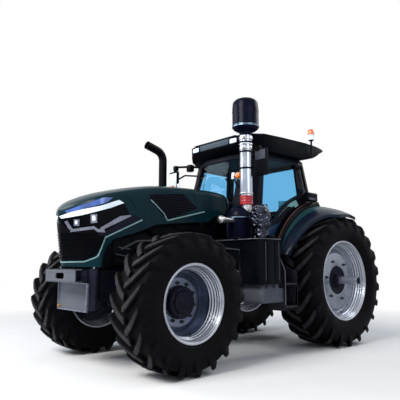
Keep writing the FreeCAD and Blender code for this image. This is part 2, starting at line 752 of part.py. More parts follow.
def steering_wheel():
    """Rim, three spokes and a hub on a stub that turns in the column."""
    section = []
    for turn in range(8):
        a = math.radians(45 * turn + 22.5)
        section.append((190 + 14 * math.cos(a), 0, 14 * math.sin(a)))
    ring = face(section).revolve(Vector(0, 0, 0), Vector(0, 0, 1), 360)
    hub = rod((0, 0, -40), (0, 0, 10), 36)
    spokes = []
    for angle in (90, 210, 330):
        c, s = math.cos(math.radians(angle)), math.sin(math.radians(angle))
        spokes.append(rod((20 * c, 20 * s, -15), (186 * c, 186 * s, 0), 9))
    shape = fuse(ring, hub, *spokes)
    shape.rotate(Vector(0, 0, 0), Vector(0, 1, 0), -wheel_tilt)
    return moved(shape, *wheel_centre)


def steering_column():
    tilt = math.radians(wheel_tilt)
    axis = Vector(-math.sin(tilt), 0, math.cos(tilt))
    top = Vector(*wheel_centre) - axis * 40.3
    return Part.makeCylinder(24, 170, top, -axis)


# Fenders and lamps

# Outer skin of the left fender, Y and radius about the rear axle
FENDER_LINE = ((fender_in, 1095.0), (800.0, 1128.0), (870.0, 1128.0), (1050.0, 1090.0), (fender_out, 985.0))
# Outer edge of the fender in plan, narrow in front
FENDER_PLAN = ((-800, 500), (1200, 500), (1200, 900), (1060, 935), (810, 1050), (435, 1170),
               (200, fender_out + 1), (-800, fender_out + 1))


def rear_fenders():
    """Skin of each fender with its outer lip and the cheek on the wheel's inner side."""
    line = list(FENDER_LINE)
    under = [(y, r - fender_wall) for y, r in line[1:-1]]
    section = line + [(fender_out, 950), (fender_out - 12, 950), (fender_out - 12, 985 - fender_wall)]
    section += list(reversed(under)) + [(fender_in + fender_wall, 1095 - fender_wall),
                                        (fender_in + fender_wall, 560), (fender_in, 560)]
    skin = moved(revolve_y(section, fender_start, fender_end - fender_start), 0, 0, rear_z)
    return pair(skin.common(prism_xy(FENDER_PLAN, 500, 2300)))


def fender_edges():
    """Rubber strip along the door and the dark tail behind each fender."""
    low, high = 790.0, 862.0
    rubber = revolve_y([(low, 1127 + skin_gap), (low, 1154), (high, 1150), (high, 1128 + skin_gap),
                        (800, 1128 + skin_gap)], fender_start, 69)
    line = list(FENDER_LINE)[1:]
    under = [(y, r - fender_wall) for y, r in reversed(line)]
    tail = revolve_y(line + under, fender_end, fender_tail - fender_end)
    pieces = [moved(rubber, 0, 0, rear_z), moved(tail, 0, 0, rear_z)]
    return Part.makeCompound(pieces + [mirrored(piece) for piece in pieces])


def tail_lamps():
    body = box(180, 420, 800, 905, 2050, 2180)
    body = body.makeChamfer(20, body.Edges)
    foot = box(230, 330, 720, 801, 2080, 2150).cut(cab_form(0.0))
    return pair(fuse(body, foot))


# Intake stack and exhaust

def air_stack():
    tube = cut(rod((0, 0, stack_low), (0, 0, stack_top), stack_r),
               rod((0, 0, stack_low - 1), (0, 0, stack_top + 1), stack_r - stack_wall))
    bands = []
    # distance below the top, height and extra radius of the clamps up the stack
    for down, high, out in ((60, 26, 9), (110, 22, 8), (180, 20, 6), (470, 16, 5)):
        z = stack_top - down
        ring = rod((0, 0, z), (0, 0, z + high), stack_r + out)
        bands.append(ring.cut(rod((0, 0, z - 1), (0, 0, z + high + 1), stack_r - 2)))
    shape = moved(fuse(tube, *bands), stack_x, stack_y, 0)
    stay = prism_xy([(1575, 752), (1560, 772), (1260, 590), (1275, 570)], 2330, 2346)
    return fuse(shape, stay.cut(cab_form(0.0)))


def air_drum():
    neck = rod((0, 0, stack_top), (0, 0, drum_low + 1), stack_r)
    profile = ((drum_low, 0), (drum_low, drum_r), (drum_top - 60, drum_r), (drum_top - 18, drum_r - 18),
               (drum_top, drum_r - 60), (drum_top, 0))
    drum = face([(r, 0, z) for z, r in profile]).revolve(Vector(0, 0, 0), Vector(0, 0, 1), 360)
    collar = Part.makeCone(stack_r + 10, drum_r - 20, 50, Vector(0, 0, drum_low - 50))
    return moved(fuse(drum, neck, collar), stack_x, stack_y, 0)


def red_hose():
    return rod((stack_x, stack_y, hose_low), (stack_x, stack_y, stack_low), stack_r + 3)


def air_canister():
    """Intake canister on the tank's top, its domed lid under the stack's hose."""
    # Z and radius from the foot to the lid
    profile = ((shelf_top + skin_gap, 0), (shelf_top + skin_gap, can_r - 8), (1730, can_r - 8), (1730, can_r),
               (1752, can_r), (1810, can_r - 18), (1862, can_r - 62), (hose_low, can_r - 90), (hose_low, 0))
    can = face([(r, 0, z) for z, r in profile]).revolve(Vector(0, 0, 0), Vector(0, 0, 1), 360)
    outlet = rod((stack_x, stack_y, 1800), (stack_x, stack_y, hose_low), stack_r - 12)
    bleed = rod((can_x + can_r - 40, can_y - 5, 1684), (2065, can_y - 15, 1684), 42)
    return fuse(moved(can, can_x, can_y, 0), outlet, bleed)


def foil_duct():
    """Bulging duct beside the canister, standing on the tank's top."""
    profile = ((shelf_top + skin_gap, 0), (shelf_top + skin_gap, 92), (1560, 98), (1600, 128), (1780, 130),
               (1850, 96), (1880, 40), (1880, 0))
    duct = face([(r, 0, z) for z, r in profile]).revolve(Vector(0, 0, 0), Vector(0, 0, 1), 360)
    keep = rod((can_x, can_y, 1400), (can_x, can_y, 1900), can_r + skin_gap)
    return moved(duct, duct_x, duct_y, 0).cut(keep)


def exhaust_pipe():
    foot = shelf_top + skin_gap
    end = Vector(exhaust_x + 300, exhaust_y, 2885)
    path = [(exhaust_x, exhaust_y, foot), (exhaust_x, exhaust_y, 2800), (end.x, end.y, end.z)]
    pipe = tube_path(path, 150, exhaust_r)
    run = (end - Vector(exhaust_x, exhaust_y, 2800)).normalize()
    bore = Part.makeCylinder(exhaust_r - 5, 141, end - run * 140, run)
    muffler = rod((exhaust_x, exhaust_y, foot), (exhaust_x, exhaust_y, 2060), 105)
    return fuse(cut(pipe, bore), muffler)


def beacon():
    """Warning lamp on a stem beside the roof's rear corner."""
    x, y = 180.0, 830.0
    stem = rod((x, y, 2735), (x, y, 2986), 14)
    stay = box(x - 14, x + 14, 700, y, 2742, 2758).cut(cab_roof())
    base = rod((x, y, 2985), (x, y, 2999), 55)
    body = rod((x, y, 2999), (x, y, 3044), 46)
    lens = rod((x, y, 3044), (x, y, 3170), 52)
    edges = [e for e in lens.Edges if e.BoundBox.ZMin > 3169]
    return fuse(stem, stay, base, body, lens.makeChamfer(14, edges))


def mirrors():
    """A mirror head on an arm at each front post."""
    head = box(1425, 1475, 810, 1005, 2290, 2605)
    head = head.makeChamfer(14, head.Edges)
    arm = tube_path([(1190, 520, 2655), (1320, 690, 2655), (1450, 905, 2655), (1450, 905, 2560)], 40, 14)
    return pair(fuse(head, arm.cut(cab_form(0.0))))


def marker_lamps():
    """Round turn lamps on short arms at the front posts."""
    lamp = rod((1600, 600, 2240), (1700, 600, 2240), 46)
    arm = prism_xy([(1380, 500), (1380, 522), (1632, 611), (1654, 611), (1654, 599)], 2160, 2180)
    stalk = box(1632, 1654, 589, 611, 2160, 2230)
    return pair(fuse(lamp, stalk, arm.cut(cab_form(0.0))))


def roof_lamps():
    """Flat work lamps in the front face of the roof."""
    lamp = box(1400, 1446, 302, 472, 2800, 2876)
    return pair(lamp.cut(cab_roof()))


# Rear hitch

def hitch_frame():
    """Casting under the gearbox with the drawbar, the drive shaft stub and the link pins."""
    base = box(-390, 0, -200, 200, 480, 640)
    plate = box(-390, -330, -200, 200, 480, 1000)
    bar = box(-860, -40, -50, 50, 430, 470)
    neck = box(-300, -60, -50, 50, 470, 480)
    shaft = rod((-390, 0, 760), (-480, 0, 760), 22)
    ears = [box(-470, -390, y - 8, y + 8, 850, 960) for y in (-44.0, 44.0)]
    pins = [rod((link_x, side * 200, link_z), (link_x, side * 282, link_z), link_pin_r) for side in (-1, 1)]
    shape = fuse(base, plate, bar, neck, shaft, *ears, *pins)
    hole = rod((-800, 0, 429), (-800, 0, 471), 19)
    eye = rod((-435, -60, 905), (-435, 60, 905), 16)
    return cut(shape, hole, eye)


def lower_links():
    """Both lower links: front eye on the hitch pin, lug for the lift rod, ball eye behind."""
    tip_x = link_x - ball_back
    eye = rod((link_x, 244, link_z), (link_x, 276, link_z), 45)
    ball = rod((tip_x, ball_y - 24, link_z), (tip_x, ball_y + 24, link_z), ball_eye_r)
    arm = prism_xy([(link_x, 244), (link_x, 276), (tip_x, ball_y + 16), (tip_x, ball_y - 16)],
                   link_z - 34, link_z + 34)
    lug_x = link_x - eye_back
    lug = box(lug_x - 40, lug_x + 40, 372, 392, link_z, link_z + eye_up + 30)
    pin = rod((lug_x, 380, link_z + eye_up), (lug_x, rod_y + 18, link_z + eye_up), lift_pin_r)
    arm = cut(arm, box(lug_x - 44, lug_x + 44, 396, 460, link_z, link_z + 60))
    shape = fuse(eye, ball, arm, lug, pin)
    shape = cut(shape, rod((link_x, 200, link_z), (link_x, 300, link_z), link_pin_r + fit_gap))
    return pair(cut(shape, rod((tip_x, 400, link_z), (tip_x, 560, link_z), ball_bore_r)))


def lift_rods():
    """Rods between the links' lugs and the lift arms, parallel to the pivots' line."""
    x = link_x - eye_back
    low = link_z + eye_up
    high = shaft_z + eye_up
    shape = rod((x, rod_y, low), (x, rod_y, high), 15)
    sleeve = rod((x, rod_y, low + 150), (x, rod_y, high - 150), 24)
    eyes = [rod((x, rod_y - 14, z), (x, rod_y + 14, z), 32) for z in (low, high)]
    shape = fuse(shape, sleeve, *eyes)
    bores = [rod((x, rod_y - 20, z), (x, rod_y + 20, z), lift_pin_r + fit_gap) for z in (low, high)]
    return pair(cut(shape, *bores))


def lift_arms():
    """Cross shaft through the gearbox's rear with an arm at each end."""
    shaft = rod((link_x, -394, shaft_z), (link_x, 394, shaft_z), 45)
    tip_x, tip_z = link_x - eye_back, shaft_z + eye_up
    arms = []
    for side in (-1, 1):
        y0, y1 = sorted((side * 366, side * 390))
        arms.append(prism_xz([(link_x, shaft_z - 58), (link_x, shaft_z + 58), (tip_x, tip_z + 30),
                              (tip_x, tip_z - 30)], y0, y1))
        arms.append(rod((link_x, y0, shaft_z), (link_x, y1, shaft_z), 58))
        arms.append(rod((tip_x, y0, tip_z), (tip_x, y1, tip_z), 30))
        arms.append(rod((tip_x, side * 380, tip_z), (tip_x, side * (rod_y + 18), tip_z), lift_pin_r))
    return fuse(shaft, *arms)


def main():
    place_wheels()
    hood_parts()
    cab_parts()
    # node name and the function that draws it
    table = (
        ("engine_block", engine_block), ("front_frame", front_frame), ("front_carrier", front_carrier),
        ("tow_bar", tow_bar), ("front_plate", front_plate), ("front_axle_beam", front_axle_beam),
        ("steering_cylinder", steering_cylinder), ("steering_rod", steering_rod),
        ("transmission_housing", transmission_housing), ("fuel_tanks", fuel_tanks),
        ("side_boxes", side_boxes), ("cab_steps", cab_steps), ("hood_bracket", hood_bracket),
        ("radiator", radiator), ("cab_roof", cab_roof), ("seat", seat), ("console", console),
        ("steering_wheel", steering_wheel), ("rear_fenders", rear_fenders), ("fender_edges", fender_edges),
        ("tail_lamps", tail_lamps), ("air_stack", air_stack), ("air_drum", air_drum), ("red_hose", red_hose),
        ("air_canister", air_canister), ("foil_duct", foil_duct), ("exhaust_pipe", exhaust_pipe),
        ("beacon", beacon), ("mirrors", mirrors), ("marker_lamps", marker_lamps), ("roof_lamps", roof_lamps),
        ("hitch_frame", hitch_frame), ("lower_links", lower_links), ("lift_rods", lift_rods),
        ("lift_arms", lift_arms),
    )
    for name, draw in table:
        save(name, draw())
    left = knuckle()
    save("knuckle_left", left)
    save("knuckle_right", mirrored(left))


main()
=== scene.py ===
# %% [markdown]
# This notebook dresses a farm tractor. Its solids come from a CAD model, and they are
# the fixed frame: everything made here is fitted to them. A piece that replaces a
# solid keeps its place and gives it the finer form that a maker would see from a step
# away. All lengths are in metres.

import json
import math

import bmesh
import bpy
from mathutils import Matrix, Vector


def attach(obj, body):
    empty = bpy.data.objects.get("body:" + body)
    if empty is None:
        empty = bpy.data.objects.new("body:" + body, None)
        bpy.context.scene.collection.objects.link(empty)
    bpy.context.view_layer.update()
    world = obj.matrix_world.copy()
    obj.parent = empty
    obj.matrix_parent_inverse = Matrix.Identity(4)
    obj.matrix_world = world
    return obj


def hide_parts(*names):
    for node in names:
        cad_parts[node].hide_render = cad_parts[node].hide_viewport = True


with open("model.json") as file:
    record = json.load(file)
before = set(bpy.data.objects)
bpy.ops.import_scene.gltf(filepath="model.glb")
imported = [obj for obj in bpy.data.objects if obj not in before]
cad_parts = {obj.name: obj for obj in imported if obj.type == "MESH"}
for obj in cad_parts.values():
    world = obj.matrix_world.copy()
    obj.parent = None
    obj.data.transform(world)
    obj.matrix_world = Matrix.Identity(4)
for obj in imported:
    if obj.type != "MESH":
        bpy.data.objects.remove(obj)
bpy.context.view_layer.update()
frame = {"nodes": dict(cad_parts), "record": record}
nodes = frame["nodes"]

# %% [markdown]
# The whole tractor is drawn from its rear axle, as a maker would measure it, while
# the frame's origin is in the middle of its length. One number joins the two, so it
# is written once and every mesh passes through it. The wheels' places follow here,
# because tyres, rims and fenders are all drawn round them.

# %% Main sizes, measured from the rear axle
REAR_X = -1.310
WHEELBASE = 2.845
FRONT_Z, REAR_Z = 0.735, 0.915
FRONT_Y, REAR_Y = 0.954, 0.932
print("rear axle at", REAR_X, "wheelbase", WHEELBASE)

# %% [markdown]
# The camera comes first. It stands ahead and to the left of the tractor, about chest
# high, and tilts up by eight degrees. The lens follows from the picture's width in
# pixels.

# %% Camera
scene = bpy.context.scene
scene.view_settings.view_transform = "Standard"
FOCAL_PX, PICTURE_PX, SENSOR_MM = 472.7, 400.0, 36.0
EYE, LOOK, TILT_DEG = (6.1076 + REAR_X, 4.8733, 1.1129), (-0.6695, -0.7428, 0), 7.97
camera_data = bpy.data.cameras.new("view_camera")
camera_data.sensor_width = SENSOR_MM
camera_data.sensor_fit = "HORIZONTAL"
camera_data.lens = FOCAL_PX / PICTURE_PX * camera_data.sensor_width
camera = bpy.data.objects.new("view_camera", camera_data)
scene.collection.objects.link(camera)
camera.location = EYE
pitch = math.radians(TILT_DEG)
heading = Vector(LOOK).normalized() * math.cos(pitch) + Vector((0, 0, math.sin(pitch)))
camera.rotation_euler = heading.to_track_quat("-Z", "Y").to_euler()
scene.camera = camera
print("lens", round(camera_data.lens, 2), "mm")

# %% [markdown]
# A white surrounding shows the tractor's outline without a colour cast. The world
# is white to the camera, to mirrors and through glass, but it lights the tractor
# more softly, so that dark paint stays dark. The Light Path node tells them apart.

# %% Surroundings
def emission_world():
    world = bpy.data.worlds.new("studio")
    scene.world = world
    world.use_nodes = True
    tree = world.node_tree
    tree.nodes.clear()
    out = tree.nodes.new("ShaderNodeOutputWorld")
    soft = tree.nodes.new("ShaderNodeBackground")
    soft.inputs["Color"].default_value = (0.80, 0.88, 1.0, 1)
    soft.inputs["Strength"].default_value = 0.34
    white = tree.nodes.new("ShaderNodeBackground")
    white.inputs["Color"].default_value = (1, 1, 1, 1)
    white.inputs["Strength"].default_value = 1.0
    path = tree.nodes.new("ShaderNodeLightPath")
    seen = path.outputs["Is Camera Ray"]
    for other in ("Is Glossy Ray", "Is Transmission Ray"):
        either = tree.nodes.new("ShaderNodeMath")
        either.operation = "MAXIMUM"
        tree.links.new(seen, either.inputs[0])
        tree.links.new(path.outputs[other], either.inputs[1])
        seen = either.outputs[0]
    mix = tree.nodes.new("ShaderNodeMixShader")
    tree.links.new(seen, mix.inputs["Fac"])
    tree.links.new(soft.outputs[0], mix.inputs[1])
    tree.links.new(white.outputs[0], mix.inputs[2])
    tree.links.new(mix.outputs[0], out.inputs["Surface"])


emission_world()
print("world", scene.world.name)

# %% [markdown]
# Wide lamps stand in for a studio: the main one is high in front, two fill from the
# sides, and one behind draws a light edge along the roof. Area lamps are used,
# because their size gives the broad highlights that show the form of painted sheet.

# %% Studio lamps
def area_lamp(name, place, target, size, power, color):
    lamp = bpy.data.lights.new(name, "AREA")
    lamp.shape = "RECTANGLE"
    lamp.size, lamp.size_y = size
    lamp.energy = power
    lamp.color = color
    holder = bpy.data.objects.new(name, lamp)
    scene.collection.objects.link(holder)
    holder.location = place
    holder.rotation_euler = (Vector(target) - Vector(place)).to_track_quat("-Z", "Y").to_euler()


# name, place, target, width and height, watts, colour
LAMPS = (
    ("key_lamp", (7.5, 1.2, 6.5), (0.5, 0.3, 1.0), (4.0, 3.0), 760.0, (1.0, 0.97, 0.93)),
    ("side_lamp", (5.0, -4.5, 5.0), (1.0, 0.0, 1.2), (4.0, 3.0), 240.0, (0.86, 0.92, 1.0)),
    ("fill_lamp", (1.0, 7.5, 4.5), (0.0, 0.6, 1.0), (4.0, 3.0), 110.0, (0.88, 0.93, 1.0)),
    ("rim_lamp", (-6.0, 2.5, 6.5), (-1.0, 0.0, 1.5), (5.0, 3.0), 260.0, (0.95, 0.97, 1.0)),
)
for row in LAMPS:
    area_lamp(*row)
print("lamps", len(LAMPS))

# %% [markdown]
# The floor is there to catch the shadow. It is matt and slightly mottled, like fine
# concrete, and further out it fades into the white surroundings, so that no horizon
# crosses the picture. The fade is an emission that only the camera sees.

# %% Floor
REACH = 60.0
floor_mesh = bpy.data.meshes.new("floor")
floor_mesh.from_pydata([(-REACH, -REACH, 0), (REACH, -REACH, 0), (REACH, REACH, 0), (-REACH, REACH, 0)], [],
                       [(0, 1, 2, 3)])
floor = bpy.data.objects.new("floor", floor_mesh)
scene.collection.objects.link(floor)


def floor_finish():
    """Pale ground near the tractor that fades into the white surroundings."""
    material = bpy.data.materials.new("pale_floor")
    material.use_nodes = True
    tree = material.node_tree
    ground = tree.nodes["Principled BSDF"]
    ground.inputs["Roughness"].default_value = 0.85
    ground.inputs["Specular IOR Level"].default_value = 0.1
    place = tree.nodes.new("ShaderNodeTexCoord").outputs["Object"]
    mottle = tree.nodes.new("ShaderNodeTexNoise")
    mottle.inputs["Scale"].default_value = 1.4
    mottle.inputs["Detail"].default_value = 6.0
    tree.links.new(place, mottle.inputs["Vector"])
    tone = tree.nodes.new("ShaderNodeMapRange")
    tree.links.new(mottle.outputs["Fac"], tone.inputs[0])
    tone.inputs[3].default_value, tone.inputs[4].default_value = 0.74, 0.82
    tree.links.new(tone.outputs[0], ground.inputs["Base Color"])
    far = tree.nodes.new("ShaderNodeVectorMath")
    far.operation = "LENGTH"
    tree.links.new(place, far.inputs[0])
    fade = tree.nodes.new("ShaderNodeMapRange")
    tree.links.new(far.outputs["Value"], fade.inputs[0])
    fade.inputs[1].default_value, fade.inputs[2].default_value = 3.2, 7.5
    white = tree.nodes.new("ShaderNodeEmission")
    mix = tree.nodes.new("ShaderNodeMixShader")
    path = tree.nodes.new("ShaderNodeLightPath")
    shown = tree.nodes.new("ShaderNodeMath")
    shown.operation = "MULTIPLY"
    tree.links.new(fade.outputs[0], shown.inputs[0])
    tree.links.new(path.outputs["Is Camera Ray"], shown.inputs[1])
    tree.links.new(shown.outputs[0], mix.inputs["Fac"])
    tree.links.new(ground.outputs[0], mix.inputs[1])
    tree.links.new(white.outputs[0], mix.inputs[2])
    tree.links.new(mix.outputs[0], tree.nodes["Material Output"].inputs["Surface"])
    return material


floor_mesh.materials.append(floor_finish())
print("floor reaches", REACH, "m")

# %% [markdown]
# Real paint, rubber and cast iron are never one even colour, so every finish needs
# several nodes. Two helpers keep that short: one makes a group with its sockets,
# and one adds a node and links or sets its inputs in a single line.

# %% Helpers for shader nodes
def socket_group(name, inputs, outputs):
    group = bpy.data.node_groups.new(name, "ShaderNodeTree")
    for label, kind, default in inputs:
        socket = group.interface.new_socket(label, in_out="INPUT", socket_type=kind)
        socket.default_value = default
    for label, kind in outputs:
        group.interface.new_socket(label, in_out="OUTPUT", socket_type=kind)
    return group, group.nodes.new("NodeGroupInput"), group.nodes.new("NodeGroupOutput")


def step(tree, kind, links, **values):
    """Adds one node, links its inputs by position or name and sets the rest."""
    node = tree.nodes.new(kind)
    for key, value in values.items():
        setattr(node, key, value)
    for key, source in links.items():
        if isinstance(source, (int, float, tuple)):
            node.inputs[key].default_value = source
        else:
            tree.links.new(source, node.inputs[key])
    return node


# %% [markdown]
# The first shared group is the surface itself. Slow noise lets the colour and the
# gloss drift over a hand's width, and fine noise gives the grain that light catches.
# It is built once, and every finish places it with its own values.

# %% Shader group: uneven surface
COLOR, NUMBER = "NodeSocketColor", "NodeSocketFloat"


def uneven_finish_group():
    group, get, put = socket_group(
        "uneven_finish",
        (("Colour", COLOR, (0.5, 0.5, 0.5, 1)), ("Drift", NUMBER, 0.2), ("Scale", NUMBER, 3.0),
         ("Gloss Low", NUMBER, 0.3), ("Gloss High", NUMBER, 0.5), ("Grain Scale", NUMBER, 300.0)),
        (("Colour", COLOR), ("Roughness", NUMBER), ("Height", NUMBER)))
    place = step(group, "ShaderNodeTexCoord", {}).outputs["Object"]
    slow = step(group, "ShaderNodeTexNoise", {"Vector": place, "Scale": get.outputs["Scale"], "Detail": 4.0})
    fine = step(group, "ShaderNodeTexNoise", {"Vector": place, "Scale": get.outputs["Grain Scale"], "Detail": 2.0})
    swing = step(group, "ShaderNodeMapRange", {0: slow.outputs["Fac"], 1: 0.3, 2: 0.7, 3: -1.0, 4: 1.0})
    part = step(group, "ShaderNodeMath", {0: swing.outputs[0], 1: get.outputs["Drift"]}, operation="MULTIPLY")
    factor = step(group, "ShaderNodeMath", {0: part.outputs[0], 1: 1.0}, operation="ADD")
    colour = step(group, "ShaderNodeVectorMath", {0: get.outputs["Colour"], 1: factor.outputs[0]},
                  operation="MULTIPLY")
    gloss = step(group, "ShaderNodeMapRange", {0: slow.outputs["Fac"], 1: 0.3, 2: 0.7,
                                               3: get.outputs["Gloss Low"], 4: get.outputs["Gloss High"]})
    group.links.new(colour.outputs[0], put.inputs["Colour"])
    group.links.new(gloss.outputs[0], put.inputs["Roughness"])
    group.links.new(fine.outputs["Fac"], put.inputs["Height"])
    return group


UNEVEN = uneven_finish_group()
print("sockets in", len(UNEVEN.interface.items_tree))

# %% [markdown]
# The second shared group is dust. It lies thicker near the ground and only in
# patches, so the height and a broken noise are multiplied into a mask, which mixes
# a pale colour into the paint.

# %% Shader group: dust near the ground
def floor_dust_group():
    group, get, put = socket_group(
        "floor_dust",
        (("Colour", COLOR, (0.5, 0.5, 0.5, 1)), ("Dust", COLOR, (0.25, 0.24, 0.22, 1)),
         ("Reach", NUMBER, 1.2), ("Amount", NUMBER, 0.3)),
        (("Colour", COLOR), ("Mask", NUMBER)))
    place = step(group, "ShaderNodeTexCoord", {}).outputs["Object"]
    up = step(group, "ShaderNodeSeparateXYZ", {0: place}).outputs["Z"]
    patch = step(group, "ShaderNodeTexNoise", {"Vector": place, "Scale": 9.0, "Detail": 6.0, "Roughness": 0.7})
    low = step(group, "ShaderNodeMapRange", {0: up, 1: 0.0, 2: get.outputs["Reach"], 3: 1.0, 4: 0.15})
    spots = step(group, "ShaderNodeMapRange", {0: patch.outputs["Fac"], 1: 0.42, 2: 0.72, 3: 0.0, 4: 1.0})
    both = step(group, "ShaderNodeMath", {0: low.outputs[0], 1: spots.outputs[0]}, operation="MULTIPLY")
    mask = step(group, "ShaderNodeMath", {0: both.outputs[0], 1: get.outputs["Amount"]}, operation="MULTIPLY")
    mix = step(group, "ShaderNodeMix", {"Factor": mask.outputs[0]}, data_type="RGBA")
    group.links.new(get.outputs["Colour"], mix.inputs[6])
    group.links.new(get.outputs["Dust"], mix.inputs[7])
    group.links.new(mix.outputs[2], put.inputs["Colour"])
    group.links.new(mask.outputs[0], put.inputs["Mask"])
    return group


DUST = floor_dust_group()
print("node groups", len(bpy.data.node_groups))

# %% [markdown]
# A finish is the same recipe each time: base colour that drifts, gloss that drifts
# with it, a fine grain as bump and, near the ground, some dust. The constants that
# make paint, cast iron, chrome or plastic differ are set on the shader itself.

# %% One recipe for all hard finishes
def placed(tree, group, **values):
    node = tree.nodes.new("ShaderNodeGroup")
    node.node_tree = group
    for key, value in values.items():
        node.inputs[key.replace("_", " ")].default_value = value
    return node


def hard_finish(name, colour, gloss=(0.35, 0.5), drift=0.15, scale=3.0, grain=(300.0, 0.05), dust=0.25, reach=1.2,
                **fixed):
    material = bpy.data.materials.new(name)
    material.use_nodes = True
    tree = material.node_tree
    shader = tree.nodes["Principled BSDF"]
    for key, value in fixed.items():
        shader.inputs[key.replace("_", " ")].default_value = value
    surface = placed(tree, UNEVEN, Colour=(*colour, 1), Drift=drift, Scale=scale, Gloss_Low=gloss[0],
                     Gloss_High=gloss[1], Grain_Scale=grain[0])
    dirt = placed(tree, DUST, Amount=dust, Reach=reach)
    bump = step(tree, "ShaderNodeBump", {"Height": surface.outputs["Height"], "Strength": grain[1],
                                         "Distance": 0.002})
    tree.links.new(surface.outputs["Colour"], dirt.inputs["Colour"])
    tree.links.new(dirt.outputs["Colour"], shader.inputs["Base Color"])
    tree.links.new(surface.outputs["Roughness"], shader.inputs["Roughness"])
    tree.links.new(bump.outputs["Normal"], shader.inputs["Normal"])
    return material


# %% [markdown]
# The solids need about fifteen finishes: dark teal paint under a thin coat on the
# bonnet, nearly black paint on cab and doors, silver rims, rough cast iron, plain
# greys and bright metal. Dark ones get little specular, because the white
# surroundings would otherwise turn them grey.

# %% Paints, castings, plastics and metals
# The blue coat tint on the bonnet and fender paints is a painted reflection of a blue sky.
bonnet_paint = hard_finish("bonnet_paint", (0.003, 0.019, 0.026), (0.2, 0.3), 0.2, 2.0, (500.0, 0.02), 0.0,
                           Coat_Weight=0.06, Coat_Roughness=0.08, Specular_IOR_Level=0.05,
                           Coat_Tint=(0.6, 0.8, 1.0, 1))
fender_paint = hard_finish("fender_paint", (0.018, 0.064, 0.074), (0.26, 0.38), 0.2, 2.0, (500.0, 0.02), 0.06,
                           Coat_Weight=0.08, Coat_Roughness=0.12, Specular_IOR_Level=0.06,
                           Coat_Tint=(0.6, 0.8, 1.0, 1))
cab_paint = hard_finish("cab_paint", (0.0022, 0.003, 0.007), (0.3, 0.42), 0.2, 2.0, (400.0, 0.03), 0.02,
                        Specular_IOR_Level=0.05)
door_navy = hard_finish("door_navy", (0.003, 0.0065, 0.015), (0.3, 0.42), 0.2, 2.0, (400.0, 0.03), 0.02,
                        Specular_IOR_Level=0.06)
slate_plastic = hard_finish("slate_plastic", (0.030, 0.048, 0.070), (0.45, 0.6), 0.15, 4.0, (350.0, 0.12), 0.0,
                            Specular_IOR_Level=0.3)
black_plastic = hard_finish("black_plastic", (0.0024, 0.0028, 0.005), (0.42, 0.6), 0.2, 4.0, (350.0, 0.15), 0.02,
                            Specular_IOR_Level=0.05)
rim_silver = hard_finish("rim_silver", (0.40, 0.42, 0.48), (0.2, 0.32), 0.12, 3.0, (420.0, 0.03), 0.08, 1.0,
                         Metallic=0.8)
cast_paint = hard_finish("cast_paint", (0.007, 0.008, 0.017), (0.45, 0.62), 0.3, 5.0, (130.0, 0.45), 0.06,
                         Specular_IOR_Level=0.06)
grey_paint = hard_finish("grey_paint", (0.095, 0.105, 0.13), (0.38, 0.5), 0.12, 3.0, (260.0, 0.08), 0.1,
                         Specular_IOR_Level=0.2)
box_grey = hard_finish("box_grey", (0.06, 0.066, 0.088), (0.4, 0.52), 0.2, 3.0, (200.0, 0.2), 0.1,
                       Specular_IOR_Level=0.15)
step_dark = hard_finish("step_dark", (0.012, 0.012, 0.02), (0.4, 0.52), 0.2, 3.0, (200.0, 0.2), 0.15,
                        Specular_IOR_Level=0.12)
polished_steel = hard_finish("polished_steel", (0.36, 0.40, 0.48), (0.10, 0.2), 0.1, 5.0, (60.0, 0.03), 0.0,
                             Metallic=1.0)
clamp_steel = hard_finish("clamp_steel", (0.42, 0.43, 0.45), (0.25, 0.38), 0.2, 8.0, (200.0, 0.08), 0.0,
                          Metallic=1.0)
dark_chrome = hard_finish("dark_chrome", (0.018, 0.03, 0.055), (0.12, 0.2), 0.2, 4.0, (200.0, 0.03), 0.0,
                          Coat_Weight=0.2, Coat_Roughness=0.05, Specular_IOR_Level=0.2)
hose_red = hard_finish("hose_red", (0.34, 0.006, 0.012), (0.3, 0.42), 0.15, 6.0, (260.0, 0.1), 0.0)
warning_orange = hard_finish("warning_orange", (0.85, 0.17, 0.015), (0.12, 0.2), 0.12, 8.0, (120.0, 0.03), 0.0,
                             Coat_Weight=0.5, Coat_Roughness=0.04)
engine_paint = hard_finish("engine_paint", (0.003, 0.0035, 0.006), (0.45, 0.62), 0.35, 6.0, (90.0, 0.5), 0.03,
                           Specular_IOR_Level=0.06)
print("hard finishes", len(bpy.data.materials) - 1)

# %% [markdown]
# The cab's glass is tinted blue. A real pane is thin, so light goes almost straight
# through it. Full transmission with a low index does the same here without a second
# face to each pane, and the tint comes from the shared surface with little drift.

# %% Window glass
def window_glass():
    material = bpy.data.materials.new("window_glass")
    material.use_nodes = True
    tree = material.node_tree
    shader = tree.nodes["Principled BSDF"]
    shader.inputs["Transmission Weight"].default_value = 1.0
    shader.inputs["IOR"].default_value = 1.12
    shader.inputs["Roughness"].default_value = 0.0
    surface = placed(tree, UNEVEN, Colour=(0.36, 0.66, 0.86, 1), Drift=0.06, Scale=0.8, Gloss_Low=0.0,
                     Gloss_High=0.02)
    tree.links.new(surface.outputs["Colour"], shader.inputs["Base Color"])
    tree.links.new(surface.outputs["Roughness"], shader.inputs["Roughness"])
    return material


glass = window_glass()
print("glass", glass.name)
